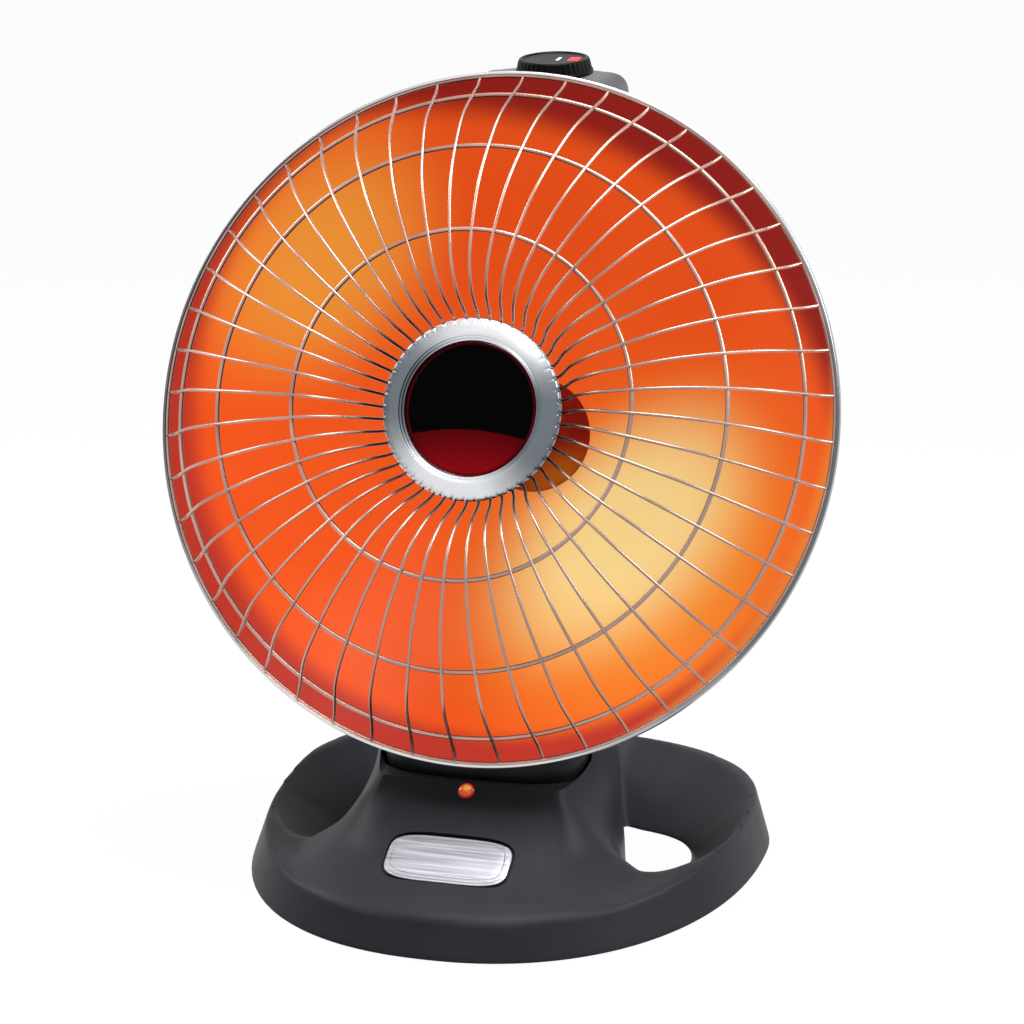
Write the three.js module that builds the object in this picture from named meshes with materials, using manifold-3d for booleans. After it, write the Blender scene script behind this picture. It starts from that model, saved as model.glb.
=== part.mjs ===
// A free-standing parabolic heater: a round moulded base with two open hand holes and a bell-shaped
// pod, and a tilting head that holds a spun reflector, a coiled element, a domed wire grille and the
// thermostat knob. Millimetres, +Z up, front towards -Y, origin on the floor under the base centre.
import * as THREE from "three";
import { mergeVertices } from "three/addons/utils/BufferGeometryUtils.js";
import Module from "manifold-3d";

const wasm = await Module();
wasm.setup();

// ---------------------------------------------------------------- driving dimensions
const FIT = 0.3; // clearance between pieces that touch
const BEYOND = 400; // reach of a cutting tool, past any side of the part

// Base
const BASE_HALF_W = 159.5; // half width at the floor
const BASE_FRONT = -160;
const BASE_REAR = 160;
const BASE_WIDEST = 0.3125; // the widest place, as a share of the half depth behind the centre
const BASE_FRONT_POWER = 2.2; // superellipse powers of the two ends
const BASE_REAR_POWER = 2.5;
const BASE_DRAFT = 9.5; // the outer wall leans in by this much
const BASE_H_FRONT = 20; // height of the ring at the front
const BASE_H_REAR = 40; // height of the ring at the rear
const BASE_WALL = 3;
const FOOT_PROUD = 1.2; // the feet lift the moulding off the floor
const PAN_T = 2.5;
const PAN_RECESS = 1;

// Tilt pivot, carried by the two cheeks of the pod
const PIVOT_Y = 0;
const PIVOT_Z = 84;
// Neck drum as (share of its half length, radius): full in the middle and rounded to its ends
const DRUM = [[0, 56], [0.53, 54.5], [0.81, 47], [0.94, 36], [1, 25]];
const NOTCH_HALF = BASE_HALF_W * 0.4138; // half of the gap between the cheeks
const NOTCH_DROP = 10.5; // from the pivot down to the notch's floor
const NOTCH_REAR_DROP = 10; // the floor is lower behind the drum, where the housing swings
const NOTCH_ROUND = 14;
const CHEEK_SOLID_DROP = 32; // the cheeks are solid down to this far below the pivot
const NOTCH_GAP = 2.5; // between the drum and its hollow in the pod
const SHAFT_R = 6;
const SHAFT_SEAT = 5; // how deep each end of the shaft sits in a cheek
const SHAFT_PLAY = 0.5;
const WASHER_R = 15;
const WASHER_T = 1.4;

// Head
const HEAD_TILT = 17.65; // degrees that the dish looks up at rest
const RIM_Y = -14;
const RIM_R = 207;
const RIM_OVER_PIVOT = 3.74; // from the pivot up to the rim's lowest point
const BAND_T = 1;
const BAND_FRONT = 3.4; // the band reaches this far in front of the rim plane
const BAND_BACK = 5;
const BAND_LIP = 1.8; // width of the front lip
const DISH_EDGE = 2.3; // flat edge that the band holds
const DISH_R = RIM_R - BAND_T - FIT - DISH_EDGE;
const DISH_DEPTH = 110;
const DISH_T = 1.2;
const DISH_HOLE_R = 30;

// Grille
const WIRE_COUNT = 48;
const WIRE_PHASE = -0.3; // degrees from the head's right to its first radial wire
const WIRE_R = 0.9;
const RING_R = 1.3; // wire radius of the hoops
const WELD = 0.6; // how far crossing wires sink into each other
const DOME_H = 69.5; // height of the grille's crest in front of the rim plane

// Hub
const HUB_R = 51;
const HUB_D = 35; // front of the cup's flange, in front of the rim plane
const CUP_R = 43;
const CUP_T = 1.5;
const BEZEL_SEAT = 5.8; // from the flange up to the bezel, so that the wires pass under its edge
const BEZEL_R = 53.6;
const BEZEL_IN = 40.4;
const BEZEL_H = 7;
const DISC_T = 4;

// Element
const SOCKET_R = 36;
const SOCKET_T = 3;
const SOCKET_BARREL_R = 28;
const SOCKET_BARREL_L = 12;
const POST_R = 8;
const CORE_R = 14;
const CORE_L = 76;
const CORE_START = -58;
const COIL_TURNS = 8;
const COIL_WIRE_R = 1.5;
const CAP_T = 6;
const PIN_R = 2.2;
const PIN_L = 12;
const PIN_SPREAD = 12;

// Rear housing and bracket
const SPINE_WALL = 3;
const SPINE_ROUND = 16;
const DISH_GAP = 1.6; // between the back of the dish and the housing's edge
const VENT_COUNT = 6;
const VENT_W = 56;
const VENT_H = 3.2;
const VENT_PITCH = 9;
const VENT_UP = 0.29; // middle of the vents, as a share of the rim's radius above its centre
const VENT_DEPTH = 36; // how far the slots are cut in from behind
const BRACKET_W = 76;
const BRACKET_L = 130;
const BRACKET_T = 1.6;
const BOSS_R = 5;
const BOSS_REACH = 27; // how far the bosses reach behind the dish's depth, into the rear wall
const CUTOUT_R = 8;
const CUTOUT_T = 8;

// Control housing, thermostat and knob
const CONTROL_DROP = 5.3; // from the rim's highest point down to the top under the knob
const CONTROL_CROWN = 3.2; // the ends of the top are this much lower than its middle
const CONTROL_SLOPE = 7; // degrees that the top leans towards the front
const CONTROL_FORE = 48; // from the knob to the housing's front
const CONTROL_AFT = 32; // from the knob to the housing's rear
const CONTROL_WALL = 2.6;
const CONTROL_ROUND = 14;
const KNOB_X = 9;
const KNOB_BEHIND_RIM = 49.2;
const KNOB_R = 24;
const KNOB_TOP_R = 21.3;
const KNOB_H = 9.5;
const STEM_R = 2.8;
const NECK_R = 4.6;
const THERMO_X = 36;
const THERMO_Y = 28;
const THERMO_Z = 16;

// Front plate and light
const PLATE_W = 73;
const PLATE_H = 33;
const PLATE_T = 2.2;
const PLATE_PROUD = 0.9;
const PLATE_SLOPE = 29;
const PLATE_FORWARD = 0.6656; // share of the base's half depth
const PLATE_UP = 0.325; // share of the way from the ring's front up to the pivot
const PLATE_ROUND = 12;
const LIGHT_FORWARD = 0.42125;
const LIGHT_UP = 0.76875;
const LIGHT_SLOPE = 40;
const LIGHT_R = 5.2;
const LIGHT_BARREL_R = 3.9;
const LIGHT_BARREL_L = 9;
const LAMP_R = 2.6;
const LAMP_L = 12;

// Pieces under the base
const FOOT_R = 9;
const FOOT_STEM_R = 3;
const FOOT_FRONT = [56.4, -66.25]; // percent of the base's half width and half depth
const FOOT_REAR = [55.2, 72.5];
const SCREW_BOSS_R = 4.5;
const SCREW_BOSS_AT = [
  [27.6, -57.5],
  [21.3, 60],
];
const SWITCH_X = 34;
const SWITCH_Y = -62;
const SWITCH_W = 22;
const SWITCH_D = 12;
const SWITCH_H = 22;
const PLUNGER_R = 3.6;
const PLUNGER_L = 22;
const PLUNGER_TRAVEL = 4;
const PLUNGER_FLANGE_T = 1.6;
const SPRING_L = 8;
const SPRING_R = 5;
const SPRING_WIRE_R = 0.5;
const SPRING_TURNS = 4;
const TERMINAL_W = 42;
const TERMINAL_D = 18;
const TERMINAL_H = 13;
const TERMINAL_Y = 62;
const INLET_Z = 18;
const INLET_R = 7;
const INLET_FLANGE_R = 10;
const INLET_FLANGE_T = 2.4;
const INLET_BORE_R = 4;
const INLET_L = 18;

// ---------------------------------------------------------------- finishes
const finish = (color, roughness, metalness, extra = {}) =>
  new THREE.MeshStandardMaterial({ color, roughness, metalness, ...extra });
const blackPlastic = finish(0x37383b, 0.5, 0);
const glossBlack = finish(0x0d0d0f, 0.18, 0);
const darkPlastic = finish(0x1b1c1e, 0.6, 0);
const rubber = finish(0x151515, 0.9, 0);
const hotCopper = finish(0xf0571e, 0.25, 0.6, { emissive: 0x7a1c05 });
const brightSteel = finish(0xc9cbd0, 0.25, 1);
const nickelWire = finish(0xc9b3ac, 0.3, 1);
const brushedSteel = finish(0xbfc1c6, 0.35, 1);
const badgeEnamel = finish(0x120608, 0.15, 0);
const ceramic = finish(0x9a5a36, 0.7, 0);
const hotWire = finish(0xff7a2a, 0.5, 0.2, { emissive: 0xff5a10 });
const zincSteel = finish(0x9ea2a6, 0.45, 1);
const brass = finish(0xb9935a, 0.35, 1);
const amberLens = finish(0xff6a1a, 0.2, 0, { emissive: 0xff4a08 });
const lampGlass = finish(0xffb070, 0.1, 0);
const fibre = finish(0x6b4a30, 0.8, 0);
const bakelite = finish(0x3a2a22, 0.5, 0);

// ---------------------------------------------------------------- solids
const flat2 = (x, y) => new THREE.Vector2(x, y);
const at3 = (x, y, z) => new THREE.Vector3(x, y, z);
const turned = (x, y, z) => new THREE.Matrix4().makeRotationFromEuler(new THREE.Euler(x, y, z));
const moved = (x, y, z) => new THREE.Matrix4().makeTranslation(x, y, z);

function solid(geometry, matrix) {
  const g = geometry.clone();
  g.deleteAttribute("normal");
  g.deleteAttribute("uv");
  if (matrix) g.applyMatrix4(matrix);
  const merged = mergeVertices(g, 1e-4);
  return new wasm.Manifold(
    new wasm.Mesh({
      numProp: 3,
      vertProperties: merged.attributes.position.array,
      triVerts: new Uint32Array(merged.index.array),
    }),
  );
}

function mesh(name, body, material) {
  const m = body.getMesh();
  const points = new Float32Array(m.numVert * 3);
  for (let i = 0; i < m.numVert; i++) {
    points.set(m.vertProperties.subarray(i * m.numProp, i * m.numProp + 3), i * 3);
  }
  const g = new THREE.BufferGeometry()
    .setAttribute("position", new THREE.BufferAttribute(points, 3))
    .setIndex(new THREE.BufferAttribute(m.triVerts, 1));
  g.computeVertexNormals();
  const made = new THREE.Mesh(g, material);
  made.name = name;
  return made;
}

// A closed solid through rings of points that all have the same count, listed from the bottom up
// and anticlockwise seen from above. Each end is closed by a fan about its middle.
function loft(rings) {
  const n = rings[0].length;
  const points = rings.flat();
  const faces = [];
  for (let k = 0; k + 1 < rings.length; k++) {
    for (let i = 0; i < n; i++) {
      const j = (i + 1) % n;
      const [a, b, c, d] = [k * n + i, k * n + j, (k + 1) * n + j, (k + 1) * n + i];
      faces.push(a, b, c, a, c, d);
    }
  }
  const middle = (ring) => ring.reduce((s, p) => s.add(p), at3(0, 0, 0)).divideScalar(n);
  const low = points.length;
  points.push(middle(rings[0]), middle(rings[rings.length - 1]));
  const last = (rings.length - 1) * n;
  for (let i = 0; i < n; i++) {
    const j = (i + 1) % n;
    faces.push(low, j, i, low + 1, last + i, last + j);
  }
  const g = new THREE.BufferGeometry().setFromPoints(points);
  g.setIndex(faces);
  return solid(g);
}

// A solid of revolution about Z from (radius, height) points: a closed outline, or one that starts
// and ends on the axis.
function revolve(outline, segments = 48, onAxis = false) {
  const points = outline.map(([r, z]) => flat2(r, z));
  if (!onAxis) points.push(points[0].clone());
  const body = solid(new THREE.LatheGeometry(points, segments), turned(Math.PI / 2, 0, 0));
  if (body.volume() > 0) return body;
  return solid(new THREE.LatheGeometry(points.reverse(), segments), turned(Math.PI / 2, 0, 0));
}

function rod(radius, z0, z1, segments = 32) {
  const outline = [[0, z0], [radius, z0], [radius, z1], [0, z1]];
  return revolve(outline, segments, true);
}

function rodX(radius, x0, x1, y, z, segments = 40) {
  return rod(radius, x0, x1, segments).transform(
    moved(0, y, z).multiply(turned(0, Math.PI / 2, 0)).elements,
  );
}

function block(x0, x1, y0, y1, z0, z1) {
  const g = new THREE.BoxGeometry(x1 - x0, y1 - y0, z1 - z0);
  return solid(g, moved((x0 + x1) / 2, (y0 + y1) / 2, (z0 + z1) / 2));
}

function roundedShape(w, h, r) {
  const s = new THREE.Shape();
  s.absarc(w / 2 - r, h / 2 - r, r, 0, Math.PI / 2);
  s.absarc(-w / 2 + r, h / 2 - r, r, Math.PI / 2, Math.PI);
  s.absarc(-w / 2 + r, -h / 2 + r, r, Math.PI, 1.5 * Math.PI);
  s.absarc(w / 2 - r, -h / 2 + r, r, 1.5 * Math.PI, 2 * Math.PI);
  return s;
}

function extrude(shape, depth, matrix, curveSegments = 5) {
  return solid(
    new THREE.ExtrudeGeometry(shape, { depth, bevelEnabled: false, curveSegments }),
    matrix,
  );
}

function wire(points, radius, steps, sides = 4) {
  const section = new THREE.Shape();
  for (let i = 0; i < sides; i++) {
    const a = (2 * Math.PI * (i + 0.5)) / sides;
    const p = [radius * Math.cos(a), radius * Math.sin(a)];
    if (i) section.lineTo(...p);
    else section.moveTo(...p);
  }
  section.closePath();
  const path = new THREE.CatmullRomCurve3(points);
  return solid(
    new THREE.ExtrudeGeometry(section, { steps, extrudePath: path, bevelEnabled: false }),
  );
}

function hoop(ringRadius, wireRadius, d, segments, sides = 3) {
  const g = new THREE.TorusGeometry(ringRadius, wireRadius, sides, segments);
  return solid(g, moved(0, 0, d)).rotate([0, 0, WIRE_PHASE]);
}

// ---------------------------------------------------------------- the head's frame
// In the head's own frame +Z is the way the dish looks, +Y is up in the plane of the rim and the
// origin is the rim's centre.
const tilt = THREE.MathUtils.degToRad(HEAD_TILT);
const rimZ = PIVOT_Z + RIM_OVER_PIVOT + RIM_R * Math.cos(tilt);
const headMatrix = moved(0, RIM_Y, rimZ).multiply(turned(Math.PI / 2 - tilt, 0, 0));
const toHead = headMatrix.clone().invert();
const pivotInHead = at3(0, PIVOT_Y, PIVOT_Z).applyMatrix4(toHead);
const dishDepthAt = (r) => -DISH_DEPTH * (1 - (r / DISH_R) ** 2);

// ---------------------------------------------------------------- base moulding
// Plans are drawn in percent of the base's half width and half depth
const halfDepth = (BASE_REAR - BASE_FRONT) / 2;
const inPlan = ([x, y]) => [(x * BASE_HALF_W) / 100, (y * halfDepth) / 100];
const levelAt = (share) => BASE_H_FRONT + share * (PIVOT_Z - BASE_H_FRONT);
const widest = BASE_WIDEST * halfDepth;

const baseTop = (y) => {
  const rise = (BASE_H_REAR - BASE_H_FRONT) / (BASE_REAR - BASE_FRONT);
  return BASE_H_FRONT + rise * (y - BASE_FRONT);
};

function baseOutline(inset, height, n) {
  return Array.from({ length: n }, (_, i) => {
    const a = (2 * Math.PI * i) / n;
    const [c, s] = [Math.cos(a), Math.sin(a)];
    const power = s < 0 ? BASE_FRONT_POWER : BASE_REAR_POWER;
    const reach = s < 0 ? widest - BASE_FRONT : BASE_REAR - widest;
    const x = Math.sign(c) * (BASE_HALF_W - inset) * Math.abs(c) ** (2 / power);
    const y = widest + Math.sign(s) * (reach - inset) * Math.abs(s) ** (2 / power);
    return at3(x, y, height(y));
  });
}

// The full disc of the base, before the hand holes are opened
function basePlate(inset, low) {
  const chamfer = 1.5;
  const n = inset ? 32 : 52;
  const top = (y) => baseTop(y) - inset;
  return loft([
    baseOutline(inset, () => low, n),
    baseOutline(inset + BASE_DRAFT - chamfer / 2, (y) => top(y) - chamfer, n),
    baseOutline(inset + BASE_DRAFT + chamfer / 2, top, n),
  ]);
}

// A closed smooth outline with the same number of steps between each two points
function smoothRing(points, inset, steps) {
  const curve = new THREE.CatmullRomCurve3(
    points.map(([x, y]) => at3(x, y, 0)),
    true,
    "catmullrom",
    0.5,
  );
  return insetRing(curve.getPoints(points.length * steps).slice(0, -1), inset);
}

function insetRing(ring, inset) {
  const n = ring.length;
  return ring.map((p, i) => {
    const along = ring[(i + 1) % n].clone().sub(ring[(i + n - 1) % n]).normalize();
    return at3(p.x - along.y * inset, p.y + along.x * inset, p.z);
  });
}

// Right half of the pod's plan at each level, a share of the way from the ring's front up to the
// pivot: the front face out to the crease, and then the flank and the rear back to the centre. The
// lowest plan is carried down to the floor.
const POD_LEVELS = [0, 0.11, 0.1875, 0.328, 0.5625, 0.781, 1.031, 1.375];
const POD_FRONT = [
  [[0, -94.4], [38.9, -85.6], [63.9, -65], [69.6, -37.5]],
  [[0, -86.9], [35.1, -80], [53.9, -64.4], [63.9, -38.8]],
  [[0, -78.8], [31.3, -73.8], [50.2, -61.3], [58.9, -39.4]],
  [[0, -66.9], [26.3, -64.4], [42.6, -55.6], [50.8, -40.6]],
  [[0, -52.5], [22.6, -51.9], [35.7, -48.8], [42.6, -41.2]],
  [[0, -41.6], [20.1, -41.6], [30.7, -41.2], [35.7, -40]],
  [[0, -31.2], [20.1, -31.2], [28.8, -31.2], [33.2, -30]],
  [[0, -12.5], [20.1, -12.5], [28.8, -12.5], [33.9, -11.9]],
];
const POD_REAR = [
  [[58.3, -28.7], [52.7, -12.5], [48.9, 7.5], [43.9, 24.4], [35.1, 55.6], [25.7, 81.9], [0, 90]],
  [[57.1, -28.7], [51.4, -12.5], [48.3, 7.5], [43.3, 23.8], [33.9, 53.8], [23.8, 80], [0, 87.5]],
  [[54.5, -28.7], [50.2, -11.9], [48, 7.5], [42.6, 23.1], [33.2, 52.5], [22.6, 76.2], [0, 83.1]],
  [[50.2, -27.5], [48.9, -11.2], [47.6, 7.5], [42, 22.5], [31.3, 50], [21.3, 70], [0, 76.2]],
  [[45.1, -27.5], [47, -10.6], [47.3, 7.5], [41.4, 21.2], [28.8, 43.8], [18.8, 58.8], [0, 63.1]],
  [[40.8, -26.2], [45.1, -10], [47.3, 6.2], [41.4, 20], [27.6, 37.5], [17.6, 47.5], [0, 50]],
  [[38.9, -20], [44.5, -7.5], [47.3, 3.8], [41.4, 16.2], [27.6, 28.7], [17.6, 35], [0, 37.5]],
  [[38.9, -8.8], [43.3, -3.1], [44.5, 1.9], [38.9, 6.9], [27.6, 10], [17.6, 11.2], [0, 12.5]],
];

function pod(inset) {
  const plans = POD_FRONT.map((front, i) => [...front, ...POD_REAR[i]]);
  const levels = POD_LEVELS.map((share) => levelAt(share) - inset);
  const last = inset ? plans.length - 1 : plans.length;
  return loft(
    [0, ...Array.from({ length: last }, (_, i) => i)].map((at, k) => {
      const half = plans[at].map(inPlan);
      const mirror = half.slice(1, -1).reverse().map(([x, y]) => [-x, y]);
      const level = k === 0 ? FOOT_PROUD - 3 * inset : levels[at];
      return smoothRing([...half, ...mirror], inset, 2).map((p) => p.setZ(level));
    }),
  );
}

// One hand hole: plan points at the floor and on the ring's top edge. Its outer side is the sloping
// inner wall of the ring and its inner side runs into the pod.
const HOLE_FLOOR = [
  [25.1, -16.2],
  [52.7, -16.2],
  [66.5, -6.2],
  [72.1, 10],
  [71.5, 25],
  [63.9, 37.5],
  [48.9, 44.4],
  [25.1, 45.6],
];
const HOLE_EDGE = [
  [25.1, -35.6],
  [60.2, -35.6],
  [74, -32.5],
  [87.8, -12.5],
  [93.4, 12.5],
  [90.3, 45],
  [67.7, 75],
  [25.1, 82.5],
];

function handHole(side, grow) {
  const plan = (points, height) =>
    smoothRing(points.map(inPlan), -grow, 3).map((p) => at3(p.x, p.y, height(p.y)));
  const rings = [
    plan(HOLE_FLOOR, () => -5),
    plan(HOLE_FLOOR, () => FOOT_PROUD),
    plan(HOLE_EDGE, (y) => baseTop(y) + grow * 0.4),
    plan(HOLE_EDGE, (y) => baseTop(y) + BASE_H_REAR),
  ];
  const made = loft(rings);
  return side > 0 ? made : made.mirror([1, 0, 0]);
}

// The neck's drum about an axis along X, or the hollow that it turns in when it is grown
function drum(halfLength, grow, y, z) {
  const side = DRUM.map(([share, r]) => [r + grow, share * halfLength]);
  const other = side.slice(1).reverse().map(([r, x]) => [r, -x]);
  const outline = [[0, -halfLength], ...other, ...side, [0, halfLength]];
  return revolve(outline, 24, true).transform(
    moved(0, y, z).multiply(turned(0, Math.PI / 2, 0)).elements,
  );
}

// The U-shaped notch between the cheeks, with the round hollow that the drum turns in
function notch(grow) {
  const half = NOTCH_HALF + grow;
  const floor = PIVOT_Z - NOTCH_DROP - grow;
  const r = NOTCH_ROUND;
  const s = new THREE.Shape();
  s.moveTo(-half, BEYOND);
  s.lineTo(-half, floor + r);
  s.absarc(-half + r, floor + r, r, Math.PI, 1.5 * Math.PI);
  s.absarc(half - r, floor + r, r, 1.5 * Math.PI, 2 * Math.PI);
  s.lineTo(half, BEYOND);
  s.closePath();
  const acrossBase = moved(0, BEYOND, 0).multiply(turned(Math.PI / 2, 0, 0));
  const through = extrude(s, 2 * BEYOND, acrossBase, 4);
  const relief = block(-half, half, PIVOT_Y, BEYOND, floor - NOTCH_REAR_DROP, BEYOND);
  return through.add(drum(half, NOTCH_GAP + grow, PIVOT_Y, PIVOT_Z)).add(relief);
}

// The space inside the moulding, kept clear of the skin by inset
function baseHollow(inset) {
  const ring = basePlate(inset, -1).subtract(handHole(1, inset)).subtract(handHole(-1, inset));
  return ring.add(pod(inset)).subtract(notch(inset));
}

const bothSides = ([x, y]) => [[x, y], [-x, y]].map(inPlan);
const screwBosses = SCREW_BOSS_AT.flatMap(bothSides);
const [frontRight, frontLeft] = bothSides(FOOT_FRONT);
const [rearRight, rearLeft] = bothSides(FOOT_REAR);
const footPlaces = {
  foot_front_right: frontRight,
  foot_front_left: frontLeft,
  foot_rear_right: rearRight,
  foot_rear_left: rearLeft,
};
const panLow = FOOT_PROUD + PAN_RECESS;
const panHigh = panLow + PAN_T;
const shaftSeat = NOTCH_HALF + SHAFT_SEAT;
const inletFace = BASE_REAR - BASE_DRAFT * (INLET_Z / BASE_H_REAR) - 2; // bottom of its counterbore
const alongY = (y, z) => moved(0, y, z).multiply(turned(-Math.PI / 2, 0, 0));
const plateMatrix = moved(0, -PLATE_FORWARD * halfDepth, levelAt(PLATE_UP)).multiply(
  turned(THREE.MathUtils.degToRad(PLATE_SLOPE), 0, 0),
);
const lightMatrix = moved(0, -LIGHT_FORWARD * halfDepth, levelAt(LIGHT_UP)).multiply(
  turned(THREE.MathUtils.degToRad(LIGHT_SLOPE), 0, 0),
);

function baseShell() {
  let hollow = baseHollow(BASE_WALL);
  for (const side of [-1, 1]) {
    const low = PIVOT_Z - CHEEK_SOLID_DROP;
    const cheek = block(NOTCH_HALF - FIT, BASE_HALF_W, BASE_FRONT, BASE_REAR, low, BEYOND);
    hollow = hollow.subtract(side > 0 ? cheek : cheek.mirror([1, 0, 0]));
  }
  for (const [x, y] of screwBosses) {
    hollow = hollow.subtract(rod(SCREW_BOSS_R, panHigh + FIT, PIVOT_Z, 16).translate([x, y, 0]));
  }
  const inletBoss = rod(INLET_FLANGE_R + 2, -8, 10, 24).transform(alongY(inletFace, INLET_Z).elements);
  hollow = hollow.subtract(inletBoss);
  let shell = basePlate(0, FOOT_PROUD)
    .subtract(handHole(1, 0))
    .subtract(handHole(-1, 0))
    .add(pod(0))
    .subtract(notch(0))
    .subtract(hollow);
  shell = shell.subtract(rodX(SHAFT_R + FIT, -shaftSeat - FIT, shaftSeat + FIT, PIVOT_Y, PIVOT_Z));
  const inlet = rod(INLET_FLANGE_R + FIT, 0, 20, 24).add(rod(INLET_R + FIT, -20, 1, 24));
  shell = shell.subtract(inlet.transform(alongY(inletFace, INLET_Z).elements));
  const recess = roundedShape(PLATE_W + 2.4, PLATE_H + 2.4, PLATE_ROUND + 1.2);
  const pocket = extrude(recess, 12, moved(0, 0, PLATE_PROUD - PLATE_T - FIT));
  shell = shell.subtract(pocket.transform(plateMatrix.elements));
  const lightHole = rod(LIGHT_BARREL_R + FIT, -16, 12, 20).add(rod(LIGHT_R + FIT, 0.1, 12, 20));
  return shell.subtract(lightHole.transform(lightMatrix.elements));
}

function basePan() {
  let pan = baseHollow(BASE_WALL + FIT).intersect(
    block(-BEYOND, BEYOND, -BEYOND, BEYOND, panLow, panHigh),
  );
  for (const [x, y] of Object.values(footPlaces)) {
    pan = pan.subtract(rod(FOOT_STEM_R + FIT, 0, 10, 16).translate([x, y, 0]));
  }
  return pan.subtract(rod(PLUNGER_R + FIT, 0, 10, 20).translate([SWITCH_X, SWITCH_Y, 0]));
}

function foot() {
  return revolve(
    [
      [0, 0],
      [FOOT_R, 0],
      [FOOT_R, panLow - FIT],
      [FOOT_STEM_R, panLow - FIT],
      [FOOT_STEM_R, panHigh + FIT],
      [FOOT_STEM_R + 1.2, panHigh + FIT],
      [FOOT_STEM_R - 0.6, panHigh + 4],
      [0, panHigh + 4],
    ],
    16,
    true,
  );
}

// Tip-over switch: a body on the pan, a plunger that the floor pushes up, and its spring
const switchLow = panHigh + FIT;
const flangeLow = panHigh + FIT + PLUNGER_TRAVEL;
const springLow = flangeLow + PLUNGER_FLANGE_T + FIT;
const springHigh = springLow + SPRING_L;
function tipSwitchBody() {
  const [w, d] = [SWITCH_W / 2, SWITCH_D / 2];
  const body = block(-w, w, -d - 2, d + 2, switchLow, switchLow + SWITCH_H);
  const ears = block(-w - 6, w + 6, -d, d, switchLow, switchLow + 2);
  const chamber = rod(SPRING_R + 1, switchLow - 1, springHigh + FIT, 24);
  const bore = rod(PLUNGER_R + FIT, switchLow - 1, switchLow + SWITCH_H - 2, 20);
  return body.add(ears).subtract(chamber).subtract(bore).translate([SWITCH_X, SWITCH_Y, 0]);
}

function tipPlunger() {
  const tip = 0.1; // rests on the floor when the heater stands
  const outline = [
    [0, tip],
    [PLUNGER_R - 1, tip],
    [PLUNGER_R, 1.4],
    [PLUNGER_R, flangeLow],
    [SPRING_R, flangeLow],
    [SPRING_R, springLow - FIT],
    [PLUNGER_R - 0.8, springLow - FIT],
    [PLUNGER_R - 0.8, tip + PLUNGER_L],
    [0, tip + PLUNGER_L],
  ];
  return revolve(outline, 16, true).translate([SWITCH_X, SWITCH_Y, 0]);
}

function tipSpring() {
  const steps = SPRING_TURNS * 8;
  const height = springHigh - springLow - 2 * SPRING_WIRE_R;
  const points = Array.from({ length: steps + 1 }, (_, i) => {
    const a = (2 * Math.PI * SPRING_TURNS * i) / steps;
    const r = SPRING_R - 1 + SPRING_WIRE_R;
    return at3(r * Math.cos(a), r * Math.sin(a), springLow + SPRING_WIRE_R + (height * i) / steps);
  });
  return wire(points, SPRING_WIRE_R, steps, 3).translate([SWITCH_X, SWITCH_Y, 0]);
}

function terminalBlock() {
  const [w, d] = [TERMINAL_W / 2, TERMINAL_D / 2];
  const low = panHigh + FIT;
  let body = block(-w, w, -d, d, low, low + TERMINAL_H);
  const bays = 4;
  for (let i = 0; i < bays; i++) {
    const x = -w + (TERMINAL_W / bays) * (i + 0.5);
    body = body.subtract(block(x - 3.6, x + 3.6, -d - 1, -d + 6, low + 4, low + TERMINAL_H + 1));
    body = body.subtract(block(x - 3.6, x + 3.6, d - 6, d + 1, low + 4, low + TERMINAL_H + 1));
  }
  return body.translate([0, TERMINAL_Y, 0]);
}

function cordInlet() {
  const outline = [
    [INLET_BORE_R, INLET_FLANGE_T],
    [INLET_BORE_R, -INLET_L + 4],
    [INLET_R, -INLET_L + 4],
    [INLET_R, 0.3],
    [INLET_FLANGE_R, 0.3],
    [INLET_FLANGE_R, INLET_FLANGE_T - 0.8],
    [INLET_FLANGE_R - 1.5, INLET_FLANGE_T],
  ];
  return revolve(outline, 20).transform(alongY(inletFace, INLET_Z).elements);
}

function trimPlate() {
  const face = extrude(roundedShape(PLATE_W, PLATE_H, PLATE_ROUND), PLATE_T - 0.5);
  const step = extrude(roundedShape(PLATE_W - 3, PLATE_H - 3, PLATE_ROUND - 1.5), PLATE_T);
  return face.add(step).transform(
    plateMatrix.clone().multiply(moved(0, 0, PLATE_PROUD - PLATE_T)).elements,
  );
}

function lightLens() {
  const outline = [
    [0, 3.4],
    [LIGHT_R * 0.6, 2.8],
    [LIGHT_R, 1],
    [LIGHT_R, 0.4],
    [LIGHT_BARREL_R, 0.4],
    [LIGHT_BARREL_R, -LIGHT_BARREL_L],
    [LAMP_R + FIT, -LIGHT_BARREL_L],
    [LAMP_R + FIT, 0.4],
    [0, 0.8],
  ];
  return revolve(outline, 18, true).transform(lightMatrix.elements);
}

function lightLamp() {
  const top = 0.1;
  const outline = [
    [0, top - LAMP_L],
    [LAMP_R, top - LAMP_L],
    [LAMP_R, top - 2],
    [LAMP_R - 1.2, top - 0.4],
    [0, top],
  ];
  return revolve(outline, 16, true).transform(lightMatrix.elements);
}

function tiltShaft() {
  return rodX(SHAFT_R, -shaftSeat, shaftSeat, PIVOT_Y, PIVOT_Z, 24);
}

function frictionWasher(side) {
  const x0 = NOTCH_HALF - FIT - WASHER_T;
  const ring = rod(WASHER_R, x0, x0 + WASHER_T, 24).subtract(rod(SHAFT_R + SHAFT_PLAY, 0, 100, 20));
  const placed = ring.transform(
    moved(0, PIVOT_Y, PIVOT_Z).multiply(turned(0, (side * Math.PI) / 2, 0)).elements,
  );
  return placed;
}

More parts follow.
